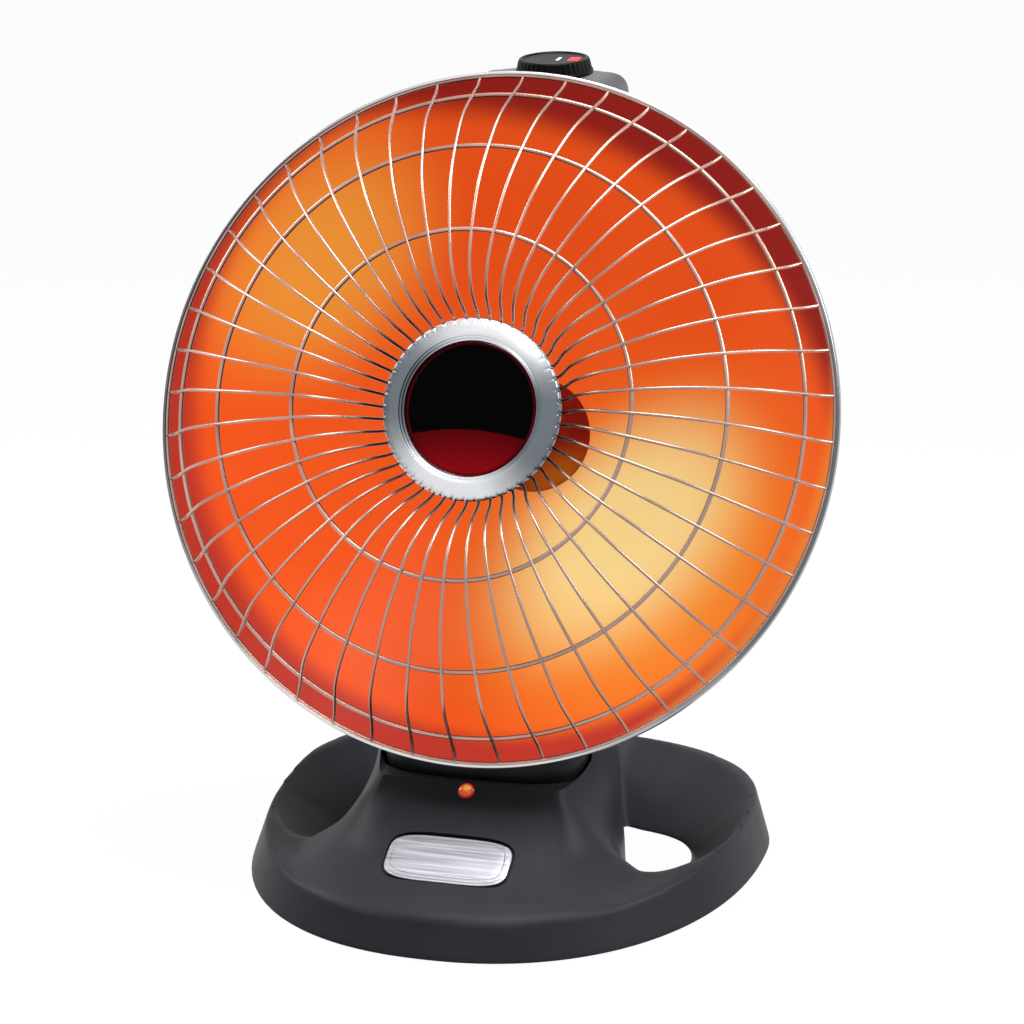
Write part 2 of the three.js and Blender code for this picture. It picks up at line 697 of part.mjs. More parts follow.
// ---------------------------------------------------------------- reflector, band and grille
function reflector() {
  const levels = 6;
  const front = [];
  const back = [];
  for (let i = 0; i <= levels; i++) {
    const r = DISH_HOLE_R + (DISH_R - DISH_HOLE_R) * (i / levels);
    front.push([r, dishDepthAt(r)]);
    back.push([r, dishDepthAt(r) - DISH_T * Math.sqrt(1 + (2 * DISH_DEPTH * r / DISH_R ** 2) ** 2)]);
  }
  const flange = [[RIM_R - BAND_T - FIT, 0], [RIM_R - BAND_T - FIT, -DISH_T]];
  return revolve([...front, ...flange, ...back.reverse()], 48);
}

function rimBand() {
  const [outer, inner] = [RIM_R, RIM_R - BAND_LIP];
  return revolve(
    [
      [inner, BAND_FRONT],
      [outer - 1, BAND_FRONT],
      [outer, BAND_FRONT - 1],
      [outer, -BAND_BACK],
      [outer - BAND_T, -BAND_BACK],
      [outer - BAND_T, BAND_FRONT - BAND_T],
      [inner, BAND_FRONT - BAND_T],
    ],
    48,
  );
}

// Hoops of the grille as shares of the rim's radius and of the dome's height
const HOOP_SHARES = [[0.9155, 0.2417], [0.7319, 0.7755], [0.4841, 1]];
const onDome = ([r, d]) => [r * RIM_R, d * DOME_H];
const HOOPS = HOOP_SHARES.map(onDome);
const RIM_HOOP = [RIM_R - BAND_T - FIT - RING_R, FIT + RING_R];

// One radial wire's route from the rim, over the dome and down its S-curve into the hub. It lies on
// the hoops, sunk into each by the weld.
function wireRoute() {
  const over = RING_R + WIRE_R - WELD;
  const outwards = [0.86, 0.5, 0.05]; // share of that offset along the radius
  const [rim3, rim2, rim1] = HOOPS.map(([r, d], i) => {
    const lean = outwards[i];
    return [r + over * lean, d + over * Math.sqrt(1 - lean * lean)];
  });
  return [
    RIM_HOOP,
    onDome([0.954, 0.121]),
    rim3,
    onDome([0.8406, 0.568]),
    rim2,
    onDome([0.6135, 0.971]),
    rim1,
    onDome([0.3961, 0.987]),
    [HUB_R + 15, HUB_D + (DOME_H - HUB_D) * 0.64],
    [HUB_R + 4.5, HUB_D + 6],
    [CUP_R + 2, HUB_D + WIRE_R + FIT],
  ];
}

// A wire in the plane of the radius and the head's axis
function radialWire(route, radius, sides = 3) {
  const rings = route.map(([r, d], i) => {
    const [r0, d0] = route[Math.max(i - 1, 0)];
    const [r1, d1] = route[Math.min(i + 1, route.length - 1)];
    const length = Math.hypot(r1 - r0, d1 - d0);
    const [nr, nd] = [-(d1 - d0) / length, (r1 - r0) / length];
    return Array.from({ length: sides }, (_, k) => {
      const a = (2 * Math.PI * k) / sides;
      const [n, b] = [radius * Math.cos(a), radius * Math.sin(a)];
      return at3(r + nr * n, -b, d + nd * n);
    });
  });
  return loft(rings);
}

function grille() {
  const one = radialWire(wireRoute(), WIRE_R);
  const spokes = Array.from({ length: WIRE_COUNT }, (_, i) =>
    one.rotate([0, 0, WIRE_PHASE + (360 * i) / WIRE_COUNT]),
  );
  const hoops = [...HOOPS, RIM_HOOP].map(([r, d]) => hoop(r, RING_R, d, WIRE_COUNT));
  return wasm.Manifold.union([...hoops, ...spokes]);
}

// ---------------------------------------------------------------- hub
const bezelLow = HUB_D + BEZEL_SEAT;
function hubCup() {
  const face = bezelLow - FIT;
  return revolve(
    [
      [0, face - CUP_T],
      [CUP_R - CUP_T, face - CUP_T],
      [CUP_R - CUP_T, HUB_D - CUP_T],
      [HUB_R, HUB_D - CUP_T],
      [HUB_R, HUB_D],
      [CUP_R, HUB_D],
      [CUP_R, face],
      [0, face],
    ],
    36,
    true,
  );
}

function hubBezel() {
  const top = bezelLow + BEZEL_H;
  return revolve(
    [
      [BEZEL_IN, bezelLow],
      [BEZEL_R, bezelLow],
      [BEZEL_R, bezelLow + 1.6],
      [BEZEL_R - 2, top - 1.8],
      [BEZEL_IN + 3, top],
      [BEZEL_IN, top - 1.2],
    ],
    40,
  );
}

function hubDisc() {
  const top = bezelLow + DISC_T;
  return revolve(
    [
      [0, bezelLow],
      [BEZEL_IN - FIT, bezelLow],
      [BEZEL_IN - FIT, top - 0.6],
      [BEZEL_IN * 0.7, top],
      [0, top + 0.6],
    ],
    36,
    true,
  );
}

// ---------------------------------------------------------------- element
const socketBack = dishDepthAt(SOCKET_R) + 4 * FIT;
const socketFront = socketBack + SOCKET_T;
function elementSocket() {
  const barrelEnd = socketBack - SOCKET_BARREL_L;
  const body = revolve(
    [
      [0, barrelEnd],
      [SOCKET_BARREL_R, barrelEnd],
      [SOCKET_BARREL_R, socketBack],
      [SOCKET_R, socketBack],
      [SOCKET_R, socketFront - 1],
      [SOCKET_R - 2, socketFront],
      [0, socketFront],
    ],
    30,
    true,
  );
  const pins = [-1, 1].map((s) =>
    rod(PIN_R + FIT, barrelEnd - 1, barrelEnd + 6, 12).translate([s * PIN_SPREAD, 0, 0]),
  );
  return body.subtract(pins[0]).subtract(pins[1]);
}

function terminalPin(side) {
  const end = socketBack - SOCKET_BARREL_L + 5.7;
  return rod(PIN_R, end - PIN_L - 5, end, 12).translate([side * PIN_SPREAD, 0, 0]);
}

function elementPost() {
  const [low, high] = [socketFront + FIT, CORE_START - FIT];
  return revolve(
    [
      [0, low],
      [POST_R + 5, low],
      [POST_R + 5, low + 4],
      [POST_R, low + 8],
      [POST_R, high],
      [0, high],
    ],
    24,
    true,
  );
}

function elementCore() {
  const end = CORE_START + CORE_L;
  return revolve(
    [
      [0, CORE_START],
      [CORE_R + 3, CORE_START],
      [CORE_R + 3, CORE_START + 4],
      [CORE_R, CORE_START + 6],
      [CORE_R, end],
      [0, end],
    ],
    28,
    true,
  );
}

function elementCoil() {
  const stepsPerTurn = 9;
  const steps = COIL_TURNS * stepsPerTurn;
  const r = CORE_R + COIL_WIRE_R + 4 * FIT;
  const low = CORE_START + 6 + COIL_WIRE_R + 1;
  const high = CORE_START + CORE_L - COIL_WIRE_R - 1;
  const points = Array.from({ length: steps + 1 }, (_, i) => {
    const a = (2 * Math.PI * i) / stepsPerTurn;
    return at3(r * Math.cos(a), r * Math.sin(a), low + ((high - low) * i) / steps);
  });
  return wire(points, COIL_WIRE_R, steps, 3);
}

function elementCap() {
  const low = CORE_START + CORE_L + FIT;
  return revolve(
    [
      [0, low],
      [CORE_R + 3, low],
      [CORE_R + 3, low + CAP_T - 2],
      [CORE_R, low + CAP_T],
      [0, low + CAP_T],
    ],
    28,
    true,
  );
}

// ---------------------------------------------------------------- rear housing
// Sections of the housing from its foot to the seam under the controls: height as a share of the
// rim's radius, how much narrower than the notch and deeper than the dish it is, and its front
const SPINE = [
  [-0.918, 8, 0, -44],
  [-0.725, 7, 13, -24],
  [-0.483, 9, 23, 0],
  [-0.193, 11, 31, 0],
  [0.145, 13, 31, 0],
  [0.435, 14, 21, 0],
  [0.676, 16, 4, 0],
  [0.86, 18, -16, 0],
].map(([up, narrower, deeper, front]) => [
  up * RIM_R,
  NOTCH_HALF - narrower,
  -DISH_DEPTH - deeper,
  front,
]);
const [seamHeight, seamHalf] = SPINE[SPINE.length - 1];
const dishBack = dishDepthAt(SOCKET_R) - DISH_T;
const bracketHigh = dishBack - 1.2;
const bracketLow = bracketHigh - BRACKET_T;

function spine(inset) {
  const round = Math.max(SPINE_ROUND - inset, 4);
  const corner = 3;
  const last = SPINE.length - 1;
  return loft(
    SPINE.map(([v, half, rear, front], k) => {
      const level = k === 0 ? v + inset : k === last ? v + (inset ? 5 : 0) : v;
      const [w, d] = [half - inset, rear + inset];
      const ring = [at3(-w, level, front - inset), at3(w, level, front - inset)];
      for (const side of [1, -1]) {
        for (let i = 0; i <= corner; i++) {
          const a = (Math.PI / 2) * (side > 0 ? i / corner : 1 - i / corner);
          const x = side * (w - round + round * Math.cos(a));
          ring.push(at3(x, level, d + round - round * Math.sin(a)));
        }
      }
      return ring;
    }),
  );
}

function dishEnvelope(grow) {
  const outline = [[0, dishDepthAt(0) - DISH_T - grow]];
  const levels = 5;
  for (let i = 1; i <= levels; i++) {
    const r = (DISH_R * i) / levels;
    const stretch = Math.sqrt(1 + ((2 * DISH_DEPTH * r) / DISH_R ** 2) ** 2);
    outline.push([r, dishDepthAt(r) - (DISH_T + grow) * stretch]);
  }
  outline.push([RIM_R + grow, -BAND_BACK - grow], [RIM_R + grow, BEYOND], [0, BEYOND]);
  return revolve(outline, 32, true);
}

function rearHousing() {
  const { y: v, z: d } = pivotInHead;
  const end = NOTCH_HALF - 2 * FIT - WASHER_T;
  const sleeve = rodX(SHAFT_R + 6, -end, end, v, d, 24);
  const inside = drum(end - SPINE_WALL, -SPINE_WALL, v, d).add(spine(SPINE_WALL));
  let body = spine(0).add(drum(end, 0, v, d)).subtract(dishEnvelope(DISH_GAP));
  body = body.subtract(inside.subtract(sleeve));
  for (let i = 0; i < VENT_COUNT; i++) {
    const h = (i - (VENT_COUNT - 1) / 2) * VENT_PITCH;
    const slot = roundedShape(VENT_W, VENT_H, VENT_H / 2 - 0.05);
    const behind = -DISH_DEPTH - VENT_DEPTH;
    body = body.subtract(extrude(slot, VENT_DEPTH, moved(0, VENT_UP * RIM_R + h, behind), 2));
  }
  for (const h of [-1, 1]) {
    const behind = -DISH_DEPTH - BOSS_REACH;
    const boss = rod(BOSS_R, behind, bracketLow - FIT, 20);
    body = body.add(boss.translate([0, (h * (BRACKET_L - 20)) / 2, 0]));
  }
  return body.subtract(rodX(SHAFT_R + SHAFT_PLAY, -BEYOND, BEYOND, v, d, 24));
}

function elementBracket() {
  const plate = extrude(roundedShape(BRACKET_W, BRACKET_L, 10), BRACKET_T, moved(0, 0, bracketLow));
  return plate.subtract(rod(SOCKET_BARREL_R + FIT, -BEYOND, 0, 36));
}

function thermalCutout() {
  const high = bracketLow - FIT;
  const can = rod(CUTOUT_R, high - CUTOUT_T, high, 24);
  return can.add(rod(CUTOUT_R + 2, high - 1.2, high, 24)).translate([22, 44, 0]);
}

// ---------------------------------------------------------------- control housing and knob
// The controls' own frame: origin on the housing's top under the knob, +Z along the knob's stem
const rimTopY = RIM_Y + RIM_R * Math.sin(tilt);
const rimTopZ = rimZ + RIM_R * Math.cos(tilt);
const controlMatrix = moved(0, rimTopY + KNOB_BEHIND_RIM, rimTopZ - CONTROL_DROP).multiply(
  turned(THREE.MathUtils.degToRad(CONTROL_SLOPE), 0, 0),
);

function controlBody(inset) {
  const [half, r, low] = [seamHalf - inset, CONTROL_ROUND, -BEYOND];
  const edge = -CONTROL_CROWN - inset;
  const front = new THREE.Shape();
  front.moveTo(half, low);
  front.lineTo(half, edge - r);
  front.quadraticCurveTo(half, edge, half - r, edge);
  front.quadraticCurveTo(0, CONTROL_CROWN - inset, r - half, edge);
  front.quadraticCurveTo(-half, edge, -half, edge - r);
  front.lineTo(-half, low);
  front.closePath();
  const [y0, y1] = [inset - CONTROL_FORE, CONTROL_AFT - inset];
  const side = new THREE.Shape();
  side.moveTo(y0, low);
  side.lineTo(y1, low);
  side.lineTo(y1, -inset - r);
  side.quadraticCurveTo(y1, -inset, y1 - r, -inset);
  side.lineTo(y1 - r, 10);
  side.lineTo(y0, 10);
  side.closePath();
  const across = moved(0, BEYOND, 0).multiply(turned(Math.PI / 2, 0, 0));
  const toYZ = new THREE.Matrix4().makeBasis(at3(0, 1, 0), at3(0, 0, 1), at3(1, 0, 0));
  return extrude(front, 2 * BEYOND, across, 6).intersect(
    extrude(side, 2 * BEYOND, moved(-BEYOND, 0, 0).multiply(toYZ), 5),
  );
}

function controlHousing() {
  let body = controlBody(0).subtract(controlBody(CONTROL_WALL));
  body = body.transform(toHead.clone().multiply(controlMatrix).elements);
  body = body.subtract(block(-BEYOND, BEYOND, -BEYOND, seamHeight + FIT, -BEYOND, BEYOND));
  body = body.subtract(dishEnvelope(DISH_GAP));
  const back = controlMatrix.clone().invert().multiply(headMatrix);
  return body.transform(back.elements).subtract(
    rod(NECK_R + FIT, -20, 20, 24).translate([KNOB_X, 0, 0]),
  );
}

const knobLow = 1.2;
const thermoTop = -CONTROL_WALL - 8;
function thermostatBody() {
  const [x, y] = [THERMO_X / 2, THERMO_Y / 2];
  return block(-x, x, -y, y, thermoTop - THERMO_Z, thermoTop)
    .add(rod(NECK_R, thermoTop - 1, 0.5, 24))
    .subtract(rod(STEM_R + FIT, thermoTop - 8, 5, 20))
    .translate([KNOB_X, 0, 0]);
}

function thermostatStem() {
  return rod(STEM_R, thermoTop - 7.7, knobLow + KNOB_H - 4, 20).translate([KNOB_X, 0, 0]);
}

function knob() {
  const top = knobLow + KNOB_H;
  const body = revolve(
    [
      [0, knobLow + 2],
      [KNOB_R - 3, knobLow + 2],
      [KNOB_R - 3, knobLow],
      [KNOB_R, knobLow],
      [KNOB_R, knobLow + 2.4],
      [KNOB_TOP_R + 0.6, top - 1],
      [KNOB_TOP_R - 1, top],
      [KNOB_TOP_R - 2.5, top - 0.8],
      [0, top - 0.8],
    ],
    32,
    true,
  );
  const pointer = block(-1, 1, -KNOB_TOP_R + 4, -2, top - 1.2, top - 0.1);
  return body
    .add(pointer)
    .subtract(rod(STEM_R + FIT, knobLow - 1, top - 3.7, 20))
    .translate([KNOB_X, 0, 0]);
}

// ---------------------------------------------------------------- assembly
const heater = new THREE.Group();
const head = new THREE.Group();
head.applyMatrix4(headMatrix);
const controls = new THREE.Group();
controls.applyMatrix4(controlMatrix);

heater.add(
  mesh("base_shell", baseShell(), blackPlastic),
  mesh("base_pan", basePan(), zincSteel),
  mesh("tip_switch_body", tipSwitchBody(), darkPlastic),
  mesh("tip_switch_plunger", tipPlunger(), darkPlastic),
  mesh("tip_switch_spring", tipSpring(), zincSteel),
  mesh("terminal_block", terminalBlock(), bakelite),
  mesh("cord_inlet", cordInlet(), rubber),
  mesh("trim_plate", trimPlate(), brushedSteel),
  mesh("power_light_lens", lightLens(), amberLens),
  mesh("power_light_lamp", lightLamp(), lampGlass),
  mesh("tilt_shaft", tiltShaft(), zincSteel),
  mesh("friction_washer_right", frictionWasher(1), fibre),
  mesh("friction_washer_left", frictionWasher(-1), fibre),
);
for (const [name, [x, y]] of Object.entries(footPlaces)) {
  heater.add(mesh(name, foot().translate([x, y, 0]), rubber));
}

head.add(
  mesh("reflector", reflector(), hotCopper),
  mesh("rim_band", rimBand(), brightSteel),
  mesh("wire_grille", grille(), nickelWire),
  mesh("hub_cup", hubCup(), brightSteel),
  mesh("hub_bezel", hubBezel(), brushedSteel),
  mesh("hub_disc", hubDisc(), badgeEnamel),
  mesh("element_socket", elementSocket(), ceramic),
  mesh("element_pin_right", terminalPin(1), brass),
  mesh("element_pin_left", terminalPin(-1), brass),
  mesh("element_post", elementPost(), zincSteel),
  mesh("element_core", elementCore(), ceramic),
  mesh("element_coil", elementCoil(), hotWire),
  mesh("element_cap", elementCap(), ceramic),
  mesh("element_bracket", elementBracket(), zincSteel),
  mesh("thermal_cutout", thermalCutout(), brass),
  mesh("rear_housing", rearHousing(), glossBlack),
);
controls.add(
  mesh("control_housing", controlHousing(), glossBlack),
  mesh("thermostat_body", thermostatBody(), zincSteel),
  mesh("thermostat_stem", thermostatStem(), brass),
  mesh("thermostat_knob", knob(), glossBlack),
);
heater.add(head, controls);

export default heater;
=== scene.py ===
"""Looks of a free-standing parabolic heater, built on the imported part's frame.

Lengths are written in millimetres and turned to metres as a mesh is made. The head's own frame has
its origin in the middle of the rim, +Z the way the dish looks and +Y up in the plane of the rim.
"""

from __future__ import annotations

import logging
import math
from dataclasses import dataclass, field
from enum import Enum
from typing import Any, Callable, Sequence

import bmesh
import bpy
import numpy as np
from mathutils import Matrix, Vector


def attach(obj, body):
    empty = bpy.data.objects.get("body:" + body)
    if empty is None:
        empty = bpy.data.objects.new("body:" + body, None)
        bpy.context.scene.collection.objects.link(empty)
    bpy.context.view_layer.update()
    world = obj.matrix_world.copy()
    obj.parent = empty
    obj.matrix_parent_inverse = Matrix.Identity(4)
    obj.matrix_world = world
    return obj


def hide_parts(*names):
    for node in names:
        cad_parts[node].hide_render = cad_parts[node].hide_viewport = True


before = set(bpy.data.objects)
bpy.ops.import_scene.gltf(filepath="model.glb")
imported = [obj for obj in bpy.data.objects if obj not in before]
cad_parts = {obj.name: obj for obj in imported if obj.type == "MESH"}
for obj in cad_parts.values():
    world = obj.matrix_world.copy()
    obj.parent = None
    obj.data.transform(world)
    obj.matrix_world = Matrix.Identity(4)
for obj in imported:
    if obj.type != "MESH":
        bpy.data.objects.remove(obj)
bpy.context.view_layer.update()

LOG = logging.getLogger("heater")
MM = 0.001
IMAGE = 1024
# Longer than any piece, for cutters that go right through
THROUGH = 200.0
FULL_TURN = 2 * math.pi
Node = bpy.types.Node
Socket = bpy.types.NodeSocket
NodeTree = bpy.types.NodeTree
Solid = bpy.types.Object
Outline = Sequence[tuple[float, float]]
Ripple = Callable[[float, float, float], float]

FIT = 0.3
BEYOND = 400.0  # reach of a cutting tool, past any side
PIVOT = Vector((0, 0, 84))
RIM_R = 207.0
RIM_Y = -14.0
RIM_OVER_PIVOT = 3.74
HEAD_TILT = math.radians(17.65)
DISH_R = 203.4
DISH_DEPTH = 110.0
DISH_SHEET = 1.2
BAND_T = 1.0
BAND_FRONT = 3.4
BAND_BACK = 5.0
BAND_LIP = 1.8


def leaning(place: Sequence[float], degrees: float) -> Matrix:
    """A frame at a place, leaning back about X."""
    return Matrix.Translation(place) @ Matrix.Rotation(math.radians(degrees), 4, "X")


RIM_Z = PIVOT.z + RIM_OVER_PIVOT + RIM_R * math.cos(HEAD_TILT)
HEAD = leaning((0, RIM_Y, RIM_Z), 90 - math.degrees(HEAD_TILT))
CONTROLS = leaning(HEAD @ Vector((0, RIM_R, 0)) + Vector((0, 49.2, -5.3)), 7)
PLATE = leaning((0, -106.5, 40.8), 29)
LIGHT = leaning((0, -67.4, 69.2), 40)


class Body(Enum):
    """The rigid bodies that pieces ride on."""

    BASE = "base"
    HEAD = "head"
    KNOB = "knob"


class Cut(Enum):
    """How one solid is combined with another."""

    JOIN = "UNION"
    TAKE = "DIFFERENCE"
    KEEP = "INTERSECT"


class Grain(Enum):
    """The way the fine lines of a brushed metal run."""

    STRAIGHT = "straight"
    ROUND = "round"


# ------------------------------------------------------------------ node trees
def add_node(
    tree: NodeTree, kind: str, inputs: dict[str | int, Any] | None = None, **settings: Any
) -> Node:
    """Adds one node with its links and settings.

    Args:
        tree: The node tree that gets the node.
        kind: The node's type.
        inputs: For inputs by name or place, a value, an output to link, or a node, which stands
            for its first output.
        **settings: Properties of the node.

    Returns:
        The new node.
    """
    node = tree.nodes.new(kind)
    for name, value in settings.items():
        setattr(node, name, value)
    for name, value in (inputs or {}).items():
        if isinstance(value, Node):
            value = value.outputs[0]
        if isinstance(value, Socket):
            tree.links.new(value, node.inputs[name])
        else:
            node.inputs[name].default_value = value
    return node


def linear(colour: str) -> tuple[float, float, float, float]:
    """Turns an sRGB hex colour (six hex digits after a #) to linear RGBA."""
    parts = [int(colour[i : i + 2], 16) / 255 for i in (1, 3, 5)]
    out = [c / 12.92 if c <= 0.04045 else ((c + 0.055) / 1.055) ** 2.4 for c in parts]
    return (out[0], out[1], out[2], 1.0)


@dataclass(frozen=True)
class Finish:
    """A surface with a fine grain, a slow drift of colour and an uneven gloss."""

    name: str
    colour: str
    drift: str
    roughness: float
    metallic: float = 0.0
    drift_mm: float = 40.0
    grain_mm: float = 0.8
    grain_depth_mm: float = 0.03
    gloss_swing: float = 0.06
    specular: float = 0.5
    ior: float = 1.5
    space: Matrix | None = None

    def coordinates(self, tree: NodeTree) -> Socket:
        """The piece's own coordinates in metres, in the frame that its pattern follows."""
        socket = add_node(tree, "ShaderNodeTexCoord").outputs["Object"]
        if self.space is None:
            return socket
        place = self.space.to_translation() * MM
        turn = self.space.to_euler()
        return add_node(
            tree, "ShaderNodeMapping", {"Vector": socket, "Location": place, "Rotation": turn},
            vector_type="TEXTURE",
        ).outputs[0]

    def noise(self, tree: NodeTree, at: Socket, size_mm: float, detail: float = 2.0) -> Socket:
        """Noise from 0 to 1 whose grains are about size_mm across."""
        return add_node(
            tree, "ShaderNodeTexNoise",
            {"Vector": at, "Scale": 1 / (size_mm * MM), "Detail": detail}, noise_dimensions="3D",
        ).outputs[0]

    def colours(self, tree: NodeTree, at: Socket) -> Socket:
        """The colour, drifting slowly between the finish's two tones."""
        ramp = add_node(tree, "ShaderNodeValToRGB", {"Fac": self.noise(tree, at, self.drift_mm)})
        ramp.color_ramp.elements[0].position = 0.3
        ramp.color_ramp.elements[1].position = 0.7
        ramp.color_ramp.elements[0].color = linear(self.drift)
        ramp.color_ramp.elements[1].color = linear(self.colour)
        return ramp.outputs[0]

    def height(self, tree: NodeTree, at: Socket) -> Socket:
        """The surface's relief from 0 to 1."""
        return self.noise(tree, at, self.grain_mm, 3.0)

    def finishing(self, tree: NodeTree, at: Socket, shader: Node) -> None:
        """Leaves the shader as it is; a finish that glows or lets light through adds that here."""

    def build(self) -> bpy.types.Material:
        """Makes the material.

        Returns:
            The material, named after the finish.
        """
        material = bpy.data.materials.new(self.name)
        material.use_nodes = True
        tree = material.node_tree
        tree.nodes.clear()
        at = self.coordinates(tree)
        relief = self.height(tree, at)
        low, high = self.roughness - self.gloss_swing, self.roughness + self.gloss_swing
        gloss = add_node(
            tree, "ShaderNodeMapRange",
            {"Value": self.noise(tree, at, self.drift_mm / 3), "To Min": low, "To Max": high},
        )
        bump = add_node(
            tree, "ShaderNodeBump",
            {"Height": relief, "Distance": self.grain_depth_mm * MM, "Strength": 0.8},
        )
        shader = add_node(
            tree, "ShaderNodeBsdfPrincipled",
            {
                "Base Color": self.colours(tree, at), "Roughness": gloss, "Metallic": self.metallic,
                "Specular IOR Level": self.specular, "Normal": bump,
            },
        )
        if not self.metallic:
            shader.inputs["IOR"].default_value = self.ior
        self.finishing(tree, at, shader)
        add_node(tree, "ShaderNodeOutputMaterial", {"Surface": shader})
        return material


@dataclass(frozen=True)
class BrushedMetal(Finish):
    """A metal with fine lines from a belt or from turning."""

    grain: Grain = Grain.STRAIGHT
    line_mm: float = 0.5
    line_length_mm: float = 30.0
    painted_highlight_at: float = 78.0

    def colours(self, tree: NodeTree, at: Socket) -> Socket:
        """Turned lines get painted highlights in two opposite sectors and painted shade between
        them; straight ones make streaks.
        """
        if self.grain is Grain.STRAIGHT:
            return Finish.colours(self, tree, self.along_lines(tree, at))
        parts = add_node(tree, "ShaderNodeSeparateXYZ", {0: at})
        angle = add_node(
            tree, "ShaderNodeMath", {0: parts.outputs[1], 1: parts}, operation="ARCTAN2"
        )
        # painted highlight: lightest at the angle set on the finish and opposite it, painted shade
        # halfway between
        twice = add_node(
            tree, "ShaderNodeMath", {0: angle, 1: 2.0, 2: -2 * math.radians(self.painted_highlight_at)},
            operation="MULTIPLY_ADD",
        )
        wave = add_node(tree, "ShaderNodeMath", {0: twice}, operation="COSINE")
        uneven = self.noise(tree, at, self.drift_mm)
        swing = add_node(
            tree, "ShaderNodeMath", {0: uneven, 1: 0.7, 2: -0.35}, operation="MULTIPLY_ADD"
        )
        total = add_node(tree, "ShaderNodeMath", {0: wave, 1: swing}, operation="ADD")
        share = add_node(
            tree, "ShaderNodeMapRange", {"Value": total, "From Min": -0.9, "From Max": 0.9},
            interpolation_type="SMOOTHSTEP",
        )
        return add_node(
            tree, "ShaderNodeMix", {0: share, 6: linear(self.drift), 7: linear(self.colour)},
            data_type="RGBA",
        ).outputs[2]

    def along_lines(self, tree: NodeTree, at: Socket) -> Socket:
        """The place with X drawn together, so that what is even there runs out in lines."""
        across = (self.line_mm / self.line_length_mm, 1, 1)
        return add_node(tree, "ShaderNodeMapping", {"Vector": at, "Scale": across}).outputs[0]

    def height(self, tree: NodeTree, at: Socket) -> Socket:
        """Lines along X, or round the Z axis of the finish's frame."""
        if self.grain is Grain.STRAIGHT:
            return self.noise(tree, self.along_lines(tree, at), self.line_mm, 4.0)
        flat = add_node(tree, "ShaderNodeVectorMath", {0: at, 1: (1, 1, 0)}, operation="MULTIPLY")
        radius = add_node(tree, "ShaderNodeVectorMath", {0: flat}, operation="LENGTH")
        return add_node(
            tree, "ShaderNodeTexNoise",
            {"W": radius.outputs["Value"], "Scale": 1 / (self.line_mm * MM), "Detail": 3.0},
            noise_dimensions="1D",
        ).outputs[0]


@dataclass(frozen=True)
class PaintedLightSpot:
    """A soft patch of painted light and shade, in the finish's frame and in millimetres.

    It is full within the inner radius and gone at the outer one. With the inner one larger, it is
    full outside it instead.
    """

    x: float
    y: float
    inner: float
    outer: float
    colour: str
    amount: float = 1.0
    stretch: tuple[float, float] = (1.0, 1.0)
    turn: float = 0.0


@dataclass(frozen=True)
class Patched(Finish):
    """A finish with soft patches of painted light and shade laid over it in turn."""

    spots: tuple[PaintedLightSpot, ...] = ()

    def colours(self, tree: NodeTree, at: Socket) -> Socket:
        """The finish's own colour, with each patch of painted light and shade laid over it."""
        colour = Finish.colours(self, tree, at)
        for spot in self.spots:
            put = add_node(
                tree, "ShaderNodeMapping",
                {
                    "Vector": at, "Location": (spot.x * MM, spot.y * MM, 0),
                    "Rotation": (0, 0, math.radians(spot.turn)), "Scale": (*spot.stretch, 1.0),
                },
                vector_type="TEXTURE",
            )
            colour = self.lay(tree, put.outputs[0], colour, spot)
        return colour

    def lay(self, tree: NodeTree, at: Socket, under: Socket, spot: PaintedLightSpot) -> Socket:
        """Lays a patch over a colour.

        Args:
            tree: The node tree.
            at: Coordinates about the patch's middle.
            under: The colour below.
            spot: The patch.

        Returns:
            The mixed colour.
        """
        flat = add_node(tree, "ShaderNodeVectorMath", {0: at, 1: (1, 1, 0)}, operation="MULTIPLY")
        radius = add_node(tree, "ShaderNodeVectorMath", {0: flat}, operation="LENGTH")
        share = add_node(
            tree, "ShaderNodeMapRange",
            {
                "Value": radius.outputs["Value"], "From Min": spot.outer * MM,
                "From Max": spot.inner * MM, "To Min": 0.0, "To Max": spot.amount,
            },
            interpolation_type="SMOOTHERSTEP",
        )
        return add_node(
            tree, "ShaderNodeMix", {0: share, 6: under, 7: linear(spot.colour)}, data_type="RGBA"
        ).outputs[2]


@dataclass(frozen=True)
class PaintedGlow(Patched):
    """A patched surface with painted glow: it gives light in its own painted colours, and takes a
    share of the room's.
    """

    glow: float = 0.8
    lit_share: float = 1.0

    def finishing(self, tree: NodeTree, at: Socket, shader: Node) -> None:
        """Painted glow: the surface glows in the colour that it has at each place."""
        source = shader.inputs["Base Color"].links[0].from_socket
        tree.links.new(source, shader.inputs["Emission Color"])
        shader.inputs["Emission Strength"].default_value = self.glow
        if self.lit_share < 1:
            dimmed = add_node(
                tree, "ShaderNodeMix", {0: self.lit_share, 6: linear("#000000"), 7: source},
                data_type="RGBA",
            )
            tree.links.new(dimmed.outputs[2], shader.inputs["Base Color"])


